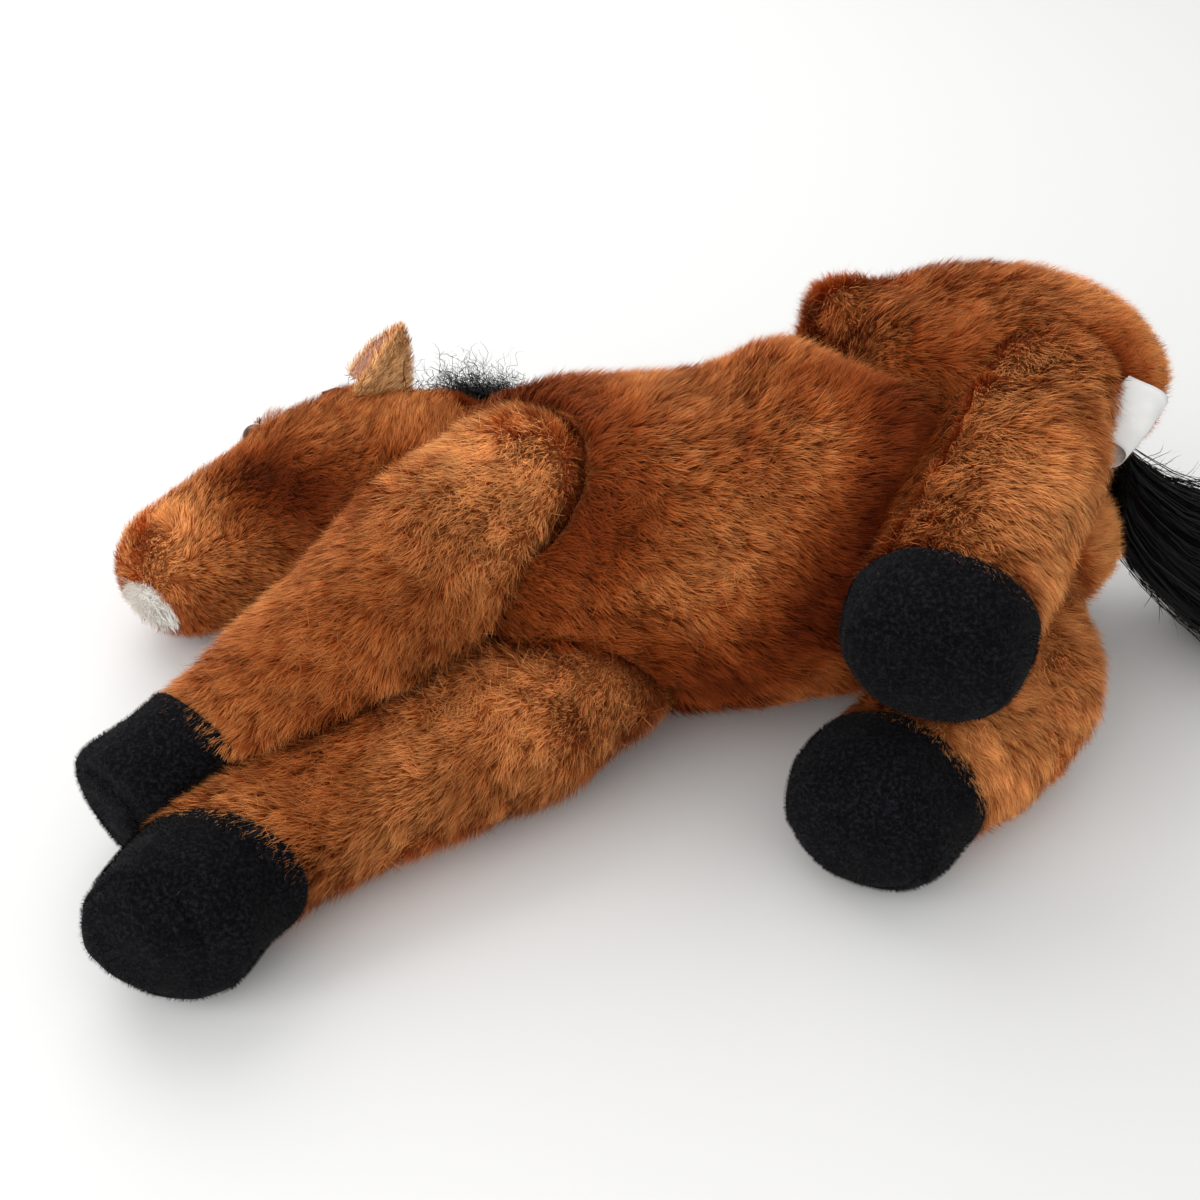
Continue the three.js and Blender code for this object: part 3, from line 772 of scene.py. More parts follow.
def plush_material(name, tones, patches):
    """Pile that is dark at its roots and golden at its tips, and lighter or darker from tuft to tuft, by
    each tuft's own tone and by painted light at the middles of tufts. Its shade attribute paints light and
    shade over it.
    """
    paint = Paint(name)
    root, middle, tip = (tuple(tone) for tone in tones)
    # Painted light and shade: the shade attribute moves each strand's colour towards its tip's where the
    # pile is painted lighter and towards its root's where it is painted darker
    sooner = paint.calculated("MULTIPLY_ADD", paint.attribute("shade"), 0.7, -0.42)
    place = paint.calculated("ADD", paint.attribute("along"), sooner)
    strand = paint.ramp(place, (0.0, root), (0.5, middle), (1.0, tip))
    # The tint attribute holds each tuft's own tone and the painted light at the middles of tufts
    tint = paint.ramp(
        paint.attribute("tint"), (0.1, (0.6, 0.55, 0.53)), (0.5, grey(1.0)), (0.9, (1.3, 1.34, 1.38))
    )
    broad = paint.ramp(paint.noise(22.0), *patches)
    # Painted light and shade: the shade attribute multiplies the colour lighter or darker
    depth = paint.ramp(paint.attribute("shade"), *zip((0.0, 0.5, 1.0), PAINTED_LIGHT_FACTORS))
    for change in (tint, broad, depth):
        strand = paint.mixed("MULTIPLY", 1.0, strand, change)
    white = tuple(colours().white)
    snip = paint.ramp(paint.attribute("along"), (0.0, toned(white, 0.96)), (0.6, white), (1.0, white))
    strand = paint.mixed("MIX", paint.attribute("patch"), strand, snip)
    levels = {
        "Roughness": 0.62,
        "Specular IOR Level": 0.06,
        "Sheen Weight": 0.04,
        "Sheen Roughness": 0.4,
        "Sheen Tint": (1.0, 0.5, 0.2),
    }
    return paint.finished(strand, levels)


def backing_material(name, colour, spread, relief):
    """The cloth under the pile, lighter or darker by the pile's painted light and shade."""
    paint = Paint(name)
    tone = paint.ramp(paint.noise(spread), (0.3, toned(colour, 0.55)), (0.7, colour))
    # Painted light and shade from the dark attribute; a piece without it takes the lightest factor
    depth = paint.ramp(paint.attribute("dark"), *zip((0.0, 0.5, 1.0), PAINTED_LIGHT_FACTORS[::-1]))
    tone = paint.mixed("MULTIPLY", 1.0, tone, depth)
    tone = paint.mixed("MIX", paint.attribute("patch"), tone, toned(colours().white, 0.9))
    paint.raised(relief, 0.6 * MM, paint.noise(900.0, 2.0))
    return paint.finished(tone, {"Roughness": 0.9, "Specular IOR Level": 0.15})


def velour_material(name, colour):
    """Short black velour with a grey speckle where its tips catch the light."""
    paint = Paint(name)
    speckle = paint.ramp(paint.noise(620.0, 3.0, 0.7), (0.46, colour), (0.72, (0.015, 0.015, 0.019)))
    broad = paint.ramp(paint.noise(30.0), (0.3, grey(0.75)), (0.7, grey(1.25)))
    tone = paint.mixed("MULTIPLY", 1.0, speckle, broad)
    lint = paint.ramp(paint.attribute("tint"), (0.86, grey(0.0)), (0.88, grey(0.08)))
    tone = paint.mixed("ADD", 1.0, tone, lint)
    paint.raised(0.7, 0.5 * MM, paint.noise(700.0, 4.0, 0.7))
    levels = {"Roughness": 0.95, "Specular IOR Level": 0.08, "Sheen Weight": 0.03, "Sheen Roughness": 0.5}
    return paint.finished(tone, levels)


def hair_material(name, colour):
    """Long glossy synthetic hair, a little greyer from strand to strand."""
    paint = Paint(name)
    tone = paint.ramp(paint.attribute("tint"), (0.0, colour), (0.8, colour), (1.0, toned(colour, 4.0)))
    return paint.finished(tone, {"Roughness": 0.5, "Specular IOR Level": 0.22})


def eye_material(name, colour):
    """Dark brown polished plastic, darker in patches."""
    paint = Paint(name)
    tone = paint.ramp(paint.noise(140.0), (0.35, toned(colour, 0.3)), (0.7, colour))
    levels = {"Roughness": 0.25, "Specular IOR Level": 0.3, "Coat Weight": 0.1, "Coat Roughness": 0.08}
    return paint.finished(tone, levels)


def washer_material(name, colour):
    """Natural white plastic, matt from its mould."""
    paint = Paint(name)
    tone = paint.ramp(paint.noise(160.0), (0.35, toned(colour, 0.9)), (0.65, colour))
    paint.raised(0.2, 0.1 * MM, paint.noise(1200.0))
    return paint.finished(tone, {"Roughness": 0.55})


def lining_material(name, colour):
    """The short pinkish pile inside an ear."""
    paint = Paint(name)
    along = paint.attribute("along")
    tone = paint.ramp(along, (0.0, toned(colour, 0.35)), (0.6, colour), (1.0, toned(colour, 1.35)))
    return paint.finished(tone, {"Roughness": 0.7, "Sheen Weight": 0.15})


def satin_material(name, colour):
    """White satin ribbon with its fine weave."""
    paint = Paint(name)
    tone = paint.ramp(paint.noise(90.0), (0.3, toned(colour, 0.86)), (0.7, colour))
    paint.raised(0.25, 0.1 * MM, paint.texture("ShaderNodeTexWave", Scale=700.0, Distortion=1.0))
    return paint.finished(tone, {"Roughness": 0.35, "Sheen Weight": 0.1})


def give(piece, made, slot):
    piece.data.materials.clear()
    piece.data.materials.append(made)
    return piece


def shared(name, maker, *values):
    """The material of that name, made when it is first asked for."""
    return bpy.data.materials.get(name) or maker(name, *values)


def plush():
    tones = colours()
    patches = ((0.33, grey(0.9)), (0.67, grey(1.1)))
    return shared("plush_pile", plush_material, (tones.root, tones.middle, tones.tip), patches)


def ear_plush():
    """The ears' pile, so short that its pale tips are most of what shows. Its tones are paler than the
    body's pile, partly the ears' own colour and partly painted light for the light that comes through the
    thin ear.
    """
    tip = np.array(colours().tip)
    tones = (tip * (1.05, 1.05, 1.1), tip * (1.15, 1.4, 1.75), tip * (1.2, 1.75, 2.6))
    patches = ((0.33, grey(0.92)), (0.67, grey(1.08)))
    return shared("ear_pile", plush_material, tones, patches)


def plush_backing():
    tone = tuple(0.5 * middle + 0.3 * tip for middle, tip in zip(colours().middle, colours().tip))
    return shared("plush_backing", backing_material, tone, 60.0, 0.8)


def black_velour():
    return shared("black_velour", velour_material, tuple(colours().velour))


def black_hair():
    return shared("black_hair", hair_material, tuple(colours().hair))


# Places on the horse

def flat_face(node, way):
    """The middle of the largest flat face of a CAD node that looks that way, and its normal."""
    faces = frame["nodes"][node].data.polygons
    normals = np.array([face.normal for face in faces])
    areas = np.array([face.area for face in faces])
    alike = (normals @ normals.T > 0.9998) @ areas
    best = int(np.argmax(np.where(normals @ way > 0.6, alike, 0)))
    return np.array(faces[best].center), normals[best]


LegLine = namedtuple("LegLine", ("root", "top", "seam", "axis", "way"))


def leg_line(leg):
    """The root of a leg, a point on its hoof's upper plane, one on the plane of the sole's seam, the hoof's
    axis, and the way from the root to the middle of the leg."""
    root = np.array(JOINTS[TURN_JOINTS[leg]]["pos_m"])
    wall, sole, skin = (
        node_points(f"{leg}_{part}").mean(axis=0) for part in ("hoof_wall", "hoof_sole", "leg_skin")
    )
    seam, normal = flat_face(f"{leg}_hoof_sole", unit(wall - sole))
    top = flat_face(f"{leg}_hoof_wall", normal)[0]
    return LegLine(root, top, seam, -normal, unit(skin - root))


def sections(node, way, count):
    """Cuts a CAD node across that way. Gives each cut's middle and its corners, measured from there."""
    way = unit(np.array(way, float))
    places = node_points(node) @ way
    middles, outlines = [], []
    for place in np.linspace(places.min(), places.max(), count + 2)[1:-1]:
        work = bmesh.new()
        work.from_mesh(frame["nodes"][node].data)
        cut = bmesh.ops.bisect_plane(
            work, geom=work.verts[:] + work.edges[:] + work.faces[:], plane_co=way * place, plane_no=way
        )["geom_cut"]
        outline = np.array([part.co[:] for part in cut if isinstance(part, bmesh.types.BMVert)])
        work.free()
        middles.append((outline.min(axis=0) + outline.max(axis=0)) / 2)
        outlines.append(outline - middles[-1])
    return np.array(middles), outlines


def hoof_top(leg):
    """A point on the plane where the plush of a leg meets the velour of its hoof."""
    line = leg_line(leg)
    return line.top - line.axis * HOOF_EXTRAS.get(leg, 0)


def hoof_seam(leg):
    """A point on the plane of the sole's seam, once the hoof is drawn out."""
    line = leg_line(leg)
    return line.seam + line.axis * ((line.seam - hoof_top(leg)) @ line.axis * (HOOF_STRETCHES[leg] - 1))


def ear_axes(side):
    """Root of an ear, its way up, its way across and the way that its hollow faces."""
    root = np.array(JOINTS[f"ear_{side}_bend"]["pos_m"]) - np.array([3, 0, 3]) * MM
    rise, front = (unit(np.array(way)) for way in EAR_WAYS[side])
    front = unit(front - (front @ rise) * rise)
    return root, rise, np.cross(rise, front), front


def head_line():
    """Crown and muzzle of the head, and the way from one to the other."""
    skin = node_points("head_skin")
    middle = skin.mean(axis=0)
    axis = np.linalg.svd(skin - middle, full_matrices=False)[2][0]
    axis *= -np.sign(axis[0])
    along = skin @ axis
    crown, muzzle = (middle + axis * (place - middle @ axis) for place in (along.min(), along.max()))
    return crown, muzzle, axis


def ways_at(place):
    """The head's way from crown to muzzle, the way out of it at that place and the way across both."""
    crown, muzzle, axis = head_line()
    out = unit(along_surface((place - (crown + muzzle) / 2)[None], axis[None]))[0]
    return axis, out, np.cross(axis, out)


def white_patch(points):
    """1 where the muzzle is white and 0 elsewhere."""
    middle = node_points("muzzle_patch").mean(axis=0) - np.array([0, 2, 3]) * MM
    edge = sizes().patch * (1 + 0.2 * drift(points, 9 * MM, 11))
    return (np.linalg.norm(points - middle, axis=1) < edge).astype(float)


def eye_ring(side):
    """Corners of the ring round an eye, where its lids stand up."""
    centre = node_points(f"eye_{side}").mean(axis=0)
    head_axis, _, across = ways_at(centre)
    angles = np.linspace(0, 2 * np.pi, 13)[:, None]
    return centre + sizes().eye * 1.35 * (head_axis * np.cos(angles) + across * np.sin(angles))


# Operators

class HORSE_OT_torso(bpy.types.Operator):
    """Torso and haunches, as one padded piece"""

    bl_idname = "horse.torso"
    bl_label = "Torso"

    def execute(self, context):
        nodes = ("torso_skin", "torso_stuffing")
        skin = padded_skin("torso_plush", nodes, sizes().voxel, rounding=6, body="torso", folds=TORSO_FOLDS)
        give(skin, plush_backing(), "plush")
        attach(skin, "torso")
        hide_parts("torso_skin", "torso_stuffing")
        return {"FINISHED"}


class HORSE_OT_head(bpy.types.Operator):
    """Neck and head, as one padded piece"""

    bl_idname = "horse.head"
    bl_label = "Head"

    def execute(self, context):
        nodes = ("neck_skin", "neck_stuffing", "head_skin", "head_stuffing", "muzzle_patch")
        rings = [eye_ring(side) / MM for side in SIDES]
        lids = [(ring, -3, 4, (0, 0, 0)) for ring in rings]
        lids += [(ring[4:9], -6, 8, (0, 0, 0)) for ring in rings]
        inset = sizes().inset - MM
        skin = padded_skin("head_plush", nodes, sizes().voxel, inset=inset, body="head", folds=lids)
        write_layer(skin.data, "patch", white_patch(points_of(skin.data)))
        give(skin, plush_backing(), "plush")
        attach(skin, "head")
        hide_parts(*nodes)
        return {"FINISHED"}


class HORSE_OT_legs(bpy.types.Operator):
    """The four legs, each with its hoof's wall and sole"""

    bl_idname = "horse.legs"
    bl_label = "Legs"

    def execute(self, context):
        for leg in LEGS:
            nodes = [f"{leg}_{part}" for part in ("leg_skin", "leg_stuffing", "hoof_wall", "hoof_sole")]
            body = f"{leg}_leg"
            axis, top, seam = leg_line(leg).axis, hoof_top(leg), hoof_seam(leg)
            skin = padded_skin(f"{leg}_plush", nodes, sizes().voxel, body=body)
            keep_side(skin, top + axis * 2 * MM, axis)
            give(skin, plush_backing(), "plush")
            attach(skin, body)
            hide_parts(*nodes[:2])
            wall = padded_skin(f"{leg}_wall", nodes, sizes().hoof_voxel, rounding=26, inset=0.4 * MM)
            mesh = wall.data
            points = points_of(mesh)
            points += normals_of(mesh) * (drift(points, 26 * MM, 19) * 1.5 * MM)[:, None]
            points += axis * (np.maximum((points - top) @ axis, 0) * (HOOF_STRETCHES[leg] - 1))[:, None]
            points[:, 2] = np.maximum(points[:, 2], FLOOR_GAP)
            groove = bell((points - seam) @ axis, 1.3 * MM)[:, None]
            move_points(mesh, points - normals_of(mesh) * groove * sizes().seam)
            sole = duplicate(wall, f"{leg}_sole")
            keep_side(wall, seam, axis)
            keep_side(wall, top, -axis)
            keep_side(sole, seam, -axis)
            for piece, node in ((wall, nodes[2]), (sole, nodes[3])):
                give(piece, black_velour(), "hoof")
                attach(piece, body)
                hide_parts(node)
        return {"FINISHED"}


class HORSE_OT_pile(bpy.types.Operator):
    """The plush pile of torso, head and legs"""

    bl_idname = "horse.pile"
    bl_label = "Pile"

    def execute(self, context):
        objects = bpy.data.objects
        skins = {"torso": objects["torso_plush"], "head": objects["head_plush"]}
        skins.update({leg: objects[f"{leg}_plush"] for leg in LEGS})
        crown, muzzle, head_axis = head_line()
        eyes = [node_points(f"eye_{side}").mean(axis=0) for side in SIDES]
        neck_root = np.array(JOINTS["neck_turn"]["pos_m"])
        turned, whorl, cheek = (np.array(place) * MM for place in (TURNED_PLACE, WHORL_PLACE, CHEEK_LINE))

        def torso_flow(points, normals):
            back = np.array([1.0, -0.1, -0.15]) * (1 - 2 * near(points, turned, 26 * MM)[:, None])
            return back + 0.9 * drift_vectors(points, 60 * MM, 3) + 0.4 * drift_vectors(points, 30 * MM, 4)

        def head_flow(points, normals):
            to_muzzle = ((points - crown) @ head_axis > 20 * MM)[:, None]
            towards = np.where(to_muzzle, -head_axis, neck_root - points)
            towards = unit(towards) + 0.45 * drift_vectors(points, 40 * MM, 5)
            away, close = unit(points - whorl), near(points, whorl, 13 * MM)[:, None]
            return towards * (1 - close) + close * (0.6 * away + 1.4 * np.cross(normals, away))

        def leg_flow(leg):
            line, fore = leg_line(leg), leg.startswith("front")
            if fore:
                out, wander = 1.0, 0.5
                fall = 0.4 * (line.way + line.axis)
            else:
                out, wander = 0.3, 0.7
                fall = np.cross((0, 0, 1), line.way) + 0.3 * line.axis - np.array([0, 0, 0.6])

            def flow(points, normals):
                edge = bell((points - hoof_top(leg)) @ line.axis, 6 * MM)[:, None]
                away = line.way if fore else unit(points - line.root)
                return out * away + fall + wander * drift_vectors(points, 45 * MM, 7) + edge * line.axis

            return flow

        def leg_length(leg):
            top, axis = hoof_top(leg), leg_line(leg).axis
            return lambda points: sizes().pile * np.clip(0.7 - (points - top) @ axis / (40 * MM), 0.65, 0.95)

        def unfolded(points):
            """0 in the creases of the torso and 1 away from them."""
            folds = [to_line(points, np.array(crease) * MM) for crease in (WAIST_CREASE, THIGH_CREASE)]
            return np.clip(np.min(folds, axis=0) / (15 * MM), 0, 1)

        def torso_length(points):
            return sizes().pile * (0.55 + 0.45 * unfolded(points))

        def head_length(points):
            to_muzzle = np.clip((muzzle - points) @ head_axis / (110 * MM), 0, 1)
            return sizes().pile * (0.52 + 0.4 * to_muzzle)

        def painted_light_and_shade(part):
            """Painted light and shade for the pile of a part: lighter or darker by its zones, painted shade
            in its creases and where other bodies lie close to it, darker along the cheek and lighter towards
            a hoof, over a tone that changes softly.
            """

            def shade(points):
                total = 0.6 + 0.22 * drift(points, 30 * MM, 16)
                for place, reach, amount in LIGHT_AND_SHADE_ZONES[part]:
                    total += amount * near(points, np.array(place) * MM, reach * MM)
                # Painted shade where other bodies lie close to the torso and in its creases
                if part == "torso":
                    total -= 0.3 * nearness(points, "torso", 30 * MM) + 0.5 * (1 - unfolded(points))
                elif part == "head":
                    total -= 0.7 * bell(to_line(points, cheek), 20 * MM)
                else:
                    total += 0.22 * near(points, hoof_top(part), 50 * MM)
                return total

            return shade

        # Strands on a square millimetre, their width, their share of the full length and their points
        coats = (
            (counts().long_pile, sizes().strand, 1.0, 3),
            (counts().short_pile, sizes().strand * 1.1, 0.85, 2),
            (counts().stray_pile, sizes().strand * 0.55, 1.15, 3),
        )
        plans = {
            "torso": (torso_flow, torso_length, None, painted_light_and_shade("torso")),
            "head": (head_flow, head_length, white_patch, painted_light_and_shade("head")),
        }
        plans.update({leg: (leg_flow(leg), leg_length(leg), None, painted_light_and_shade(leg)) for leg in LEGS})
        for seed, (part, skin) in enumerate(skins.items()):
            surface = Surface(skin)
            others = [other for name, other in skins.items() if name != part]
            middles, normals = surface.middles()
            bare = hidden_by(surface, *others) | ((middles[:, 2] < 3 * MM) & (normals[:, 2] < -0.8))
            if part in LEGS:
                bare |= (middles - hoof_top(part)) @ leg_line(part).axis > 1.2 * MM
            if part == "head":
                for eye in eyes:
                    bare |= np.linalg.norm(middles - eye, axis=1) < sizes().eye * 1.15
            surface.areas[normals[:, 2] < -0.35] *= 0.5
            surface.keep(~bare)
            flow, full, patch_of, shade_of = plans[part]
            # The backing takes the same painted light and shade, stored as its darkness
            write_layer(skin.data, "dark", 1 - np.clip(shade_of(points_of(skin.data)), 0, 1))
            body = part if part in ("torso", "head") else f"{part}_leg"

            def length(points):
                return full(points) * (1 - 0.3 * nearness(points, body, 10 * MM))

            pile(
                f"{part}_pile",
                surface,
                flow,
                length,
                seed=100 * seed + 1,
                coats=coats,
                made=plush(),
                slot="plush",
                body=body,
                white=patch_of,
                shade=shade_of,
            )
        return {"FINISHED"}


class HORSE_OT_velour(bpy.types.Operator):
    """The hooves' short pile"""

    bl_idname = "horse.velour"
    bl_label = "Velour"

    def execute(self, context):
        for seed, leg in enumerate(LEGS):
            surface = Surface(bpy.data.objects[f"{leg}_wall"], bpy.data.objects[f"{leg}_sole"])
            axis = leg_line(leg).axis
            middles, normals = surface.middles()
            flat = np.abs(normals @ axis) > 0.99
            cut = np.abs((middles - hoof_top(leg)) @ axis) < 0.3 * MM
            cut |= np.abs((middles - hoof_seam(leg)) @ axis) < 0.05 * MM
            surface.keep(~(flat & cut))
            pile(
                f"{leg}_velour",
                surface,
                lambda points, normals: drift_vectors(points, 12 * MM, 13),
                lambda points: np.full(len(points), sizes().velour),
                seed=900 + seed,
                coats=((counts().velour, 0.3 * MM, 1.0, 2),),
                made=black_velour(),
                slot="hoof",
                body=f"{leg}_leg",
                lift=1.4,
                tuft=2.2 * MM,
            )
        return {"FINISHED"}


def smooth_steps(values, count):
    """Values at even steps along a row, by a soft curve through them."""
    row = np.linspace(0, len(values) - 1, count)
    low = np.clip(np.floor(row).astype(int), 0, len(values) - 2)
    part = (row - low)[:, None]
    before, after = values[np.maximum(low - 1, 0)], values[np.minimum(low + 2, len(values) - 1)]
    a, b = values[low], values[low + 1]
    return 0.5 * (
        2 * a
        + (b - before) * part
        + (2 * before - 5 * a + 4 * b - after) * part**2
        + (3 * a - before - 3 * b + after) * part**3
    )


def hair_core(name, node, inset):
    """The dense middle of a bundle of hair, inside its CAD node."""
    core = padded_skin(name, (node,), voxel=4.5 * MM, rounding=5, inset=inset)
    give(core, black_hair(), "hair")
    return core


def curled(roots, ways, lengths, steps, curl, turns, random):
    """Lines that leave their roots that way and curl about it."""
    count = len(roots)
    along = np.linspace(0, 1, steps)[None, :, None]
    side = unit(np.cross(ways, random.normal(size=(count, 3))))
    other = np.cross(ways, side)
    phase = random.uniform(0, 2 * np.pi, (count, 1, 1))
    spin = phase + along * 2 * np.pi * (turns * random.uniform(0.5, 1.5, (count, 1)))[:, :, None]
    swing = curl * random.uniform(0.3, 1.4, (count, 1, 1)) * np.sqrt(along)
    lines = roots[:, None] + ways[:, None] * along * lengths[:, None, None]
    lines += swing * (np.cos(spin) - np.cos(phase)) * side[:, None]
    lines += swing * (np.sin(spin) - np.sin(phase)) * other[:, None]
    lines[..., 2] = np.maximum(lines[..., 2], FLOOR_GAP)
    return lines


def hairs(name, lines, seed, body, width=None):
    """Hairs along these lines, each a narrow ribbon."""
    random = np.random.default_rng(seed)
    count, steps, _ = lines.shape
    ways = unit(lines[:, -1] - lines[:, 0])
    across = unit(np.cross(ways, random.normal(size=(count, 3))))
    thin = (sizes().hair if width is None else width) * random.uniform(0.7, 1.3, (count, 1))
    taper = np.concatenate([np.ones(steps - 3), [0.85, 0.55, 0]])[None]
    made = strand_mesh(name, lines, thin * taper, across[:, None, :], {"tint": random.random(count)})
    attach(give(made, black_hair(), "hair"), body)


class HORSE_OT_tail(bpy.types.Operator):
    """The long wavy hair of the tail, with loose wisps"""

    bl_idname = "horse.tail"
    bl_label = "Tail"

    def execute(self, context):
        core = hair_core("tail_core", "tail", 8 * MM)
        keep_side(core, (0.27, 0, 0), (1, 0, 0))
        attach(core, "tail")
        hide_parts("tail")
        # The bundle that the hairs fill: its line, which hangs a little low, and its half sizes
        middles, outlines = sections("tail", (1, 0, 0), 9)
        reach = np.array([np.abs(outline).max(axis=0)[1:] for outline in outlines])
        steps, count = TAIL_STEPS, counts().tail_hairs // thinning()
        root = np.array(JOINTS["tail_swing"]["pos_m"])
        middles = np.vstack([root - [4 * MM, 0, 0], middles])
        fullest = np.interp(np.arange(len(reach)), (0, 3, 8), (24 * MM, 36 * MM, 30 * MM))[:, None]
        reach = np.vstack([[23 * MM, 21 * MM], np.maximum(reach, fullest)])
        hang = np.interp(np.arange(len(middles)), (0, 1, 5, 9), (2, 9, 6, 0))[:, None] * MM
        middles = middles - hang * np.array([0, 0.8, 1.3])
        middles, reach = smooth_steps(middles, steps), smooth_steps(reach, steps)
        # The place of each hair in it, the lock that it gathers to and how it waves
        random = np.random.default_rng(31)
        angle = random.uniform(0, 2 * np.pi, count)
        share = random.uniform(0.12, 1, count) ** 0.5
        lock, _ = tufts(np.stack([np.cos(angle), np.sin(angle), share], axis=1), 0.28, 33)
        ring = np.stack([np.cos(angle), np.sin(angle)], axis=1) * share[:, None]
        ends = np.linspace(0, 1, steps)[None, :, None]
        gather = 0.5 * ends * (lock[:, None, :2] * share[:, None, None] - ring[:, None])
        wisps = 1 + 0.5 * ends**0.5 * (random.random((count, 1, 1)) < 0.12)
        spread = (ring[:, None] + gather) * (reach[None] * 0.93) * wisps
        wander = random.normal(size=(count, 1, 2)) * 6 * MM * ends**1.5 * wisps**2
        phase, waves = random.uniform(0, 2 * np.pi, (count, 1, 2)), random.uniform(1.5, 3.6, (count, 1, 2))
        ripple = random.uniform(0.8, 3.6, (count, 1, 1)) * MM * wisps * ends**0.5
        wander += ripple * np.sin(phase + 2 * np.pi * waves * ends)
        lines = np.tile(middles[None], (count, 1, 1))
        lines[..., 1:] += spread + wander
        lines[..., 0] += random.uniform(-10, 14, (count, 1)) * MM * ends[..., 0]
        swing = np.stack([drift(lines[:, k], 40 * MM, 35) for k in range(steps)], axis=1)
        lines[..., 2] += swing * 2.5 * MM
        lines[..., 2] = np.maximum(lines[..., 2], FLOOR_GAP + random.uniform(0, 2, (count, 1)) * MM)
        hairs("tail_hair", lines, seed=37, body="tail")
        # Short wisps that stand off half of them
        loose = random.integers(0, count, count // 2)
        steps_along = random.integers(2, steps - 1, len(loose))
        roots = lines[loose, steps_along]
        onwards = unit(lines[loose, steps_along + 1] - roots)
        outwards = unit(roots - middles[steps_along])
        outwards = outwards * random.uniform(0.2, 1.1, (len(loose), 1))
        ways = unit(onwards + outwards + 0.3 * random.normal(size=roots.shape))
        lengths = random.uniform(9, 24, len(loose)) * MM
        lines = curled(roots, ways, lengths, steps=7, curl=1.8 * MM, turns=0.9, random=random)
        hairs("tail_loose_hair", lines, seed=38, body="tail", width=0.3 * MM)
        return {"FINISHED"}


class HORSE_OT_mane(bpy.types.Operator):
    """The frizzy hair of the mane and the flat hair of the forelock, with one loose strand"""

    bl_idname = "horse.mane"
    bl_label = "Mane and forelock"

    def execute(self, context):
        head = bpy.data.objects["head_plush"]
        full, thin = counts().mane_hairs, counts().forelock_hairs
        for node, amount, length, seed, inset, fall, rise, stray, curl in (
            ("mane", full, 30 * MM, 41, 6.5 * MM, (0.2, 0.4, 0.1), 0.7, 0.6, 3.2 * MM),
            ("forelock", thin, 14 * MM, 51, 8 * MM, (-0.8, 0.9, -0.9), 0.02, 0.15, 1.2 * MM),
        ):
            core = hair_core(f"{node}_core", node, inset)
            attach(core, "head")
            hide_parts(node)
            own, surface = Surface(core), Surface(core, head)
            rooted = to_line(surface.middles()[0], np.array(MANE_LINE) * MM) < 9 * MM
            if node == "forelock":
                rooted[:] = False
            rooted[: len(own.areas)] = ~hidden_by(own, head)
            surface.keep(rooted)
            random = np.random.default_rng(seed)
            roots, normals = surface.plant(amount / (surface.areas.sum() / MM**2), seed)
            lie = along_surface(drift_vectors(roots, 20 * MM, seed) + np.array(fall), normals)
            ways = unit(unit(lie) + rise * normals + stray * random.normal(size=roots.shape))
            lengths = length * random.uniform(0.3, 1.0, len(roots)) ** 1.5
            lengths *= np.clip((-84 * MM - roots[:, 0]) / (26 * MM), 0.2, 1)
            lines = curled(roots - normals * MM, ways, lengths, 11, curl, turns=2.8, random=random)
            low, high = (np.array(corner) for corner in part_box(node))
            lines = np.clip(lines, low - 9 * MM, high + 9 * MM)
            if node == "forelock":
                past = lines[..., 2] + FORELOCK_SLOPE * lines[..., 1] - FORELOCK_TOP
                lines[..., 2] -= 1.5 * np.maximum(past, 0)
            hairs(f"{node}_hair", lines, seed=seed + 1, body="head", width=0.32 * MM)
        turn = np.linspace(-1.6, 4.2, 14)[:, None]
        ring = np.cos(turn) * [1, 0, 0] + np.sin(turn) * [0, 0.64, 0.77]
        loop = np.array([-172, 103, 91.5]) * MM + 3.6 * MM * ring
        loop[0] -= [0, 2 * MM, 6 * MM]
        hairs("forelock_loop", loop[None], seed=55, body="head", width=0.3 * MM)
        return {"FINISHED"}


class HORSE_OT_eyes(bpy.types.Operator):
    """The eyes with their lashes"""

    bl_idname = "horse.eyes"
    bl_label = "Eyes"

    def execute(self, context):
        crown, muzzle, _ = head_line()
        for seed, side in enumerate(SIDES):
            node = f"eye_{side}"
            eye = copy_of(f"{node}_dome", node)
            add_subdivision(eye, 2)
            apply_all(eye)
            points = points_of(eye.data)
            centre = points.mean(axis=0)
            way = unit(centre - (crown + muzzle) / 2)
            move_points(eye.data, centre + 0.95 * (points - centre) - way * 2 * MM)
            eye.data.shade_smooth()
            give(eye, shared("eye_plastic", eye_material, tuple(colours().iris)), "eye")
            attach(eye, "head")
            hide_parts(node)
            washer = frame["nodes"][f"eye_washer_{side}"]
            washer.material_slots[0].material = shared("washer_plastic", washer_material, (0.8, 0.8, 0.77))
            centre = points_of(eye.data).mean(axis=0)
            head_axis, out, across = ways_at(centre)
            random = np.random.default_rng(80 + seed)
            angles = np.linspace(-1.15, 1.15, LASHES) + random.normal(scale=0.04, size=LASHES)
            rim = -head_axis * np.cos(angles)[:, None] + across * np.sin(angles)[:, None]
            rim = unit(0.45 * out + rim * np.sign(rim @ np.array([0.2, 1, 0.3]))[:, None])
            roots = centre + rim * sizes().eye * 0.85 + out * 1.5 * MM
            ways = unit(0.5 * out + 0.9 * rim + 0.15 * random.normal(size=rim.shape))
            lengths = random.uniform(2.5, 4.5, LASHES) * MM
            lines = curled(roots, ways, lengths, steps=6, curl=0.5 * MM, turns=0.4, random=random)
            hairs(f"{node}_lashes", lines, seed=90 + seed, body="head", width=0.35 * MM)
        return {"FINISHED"}


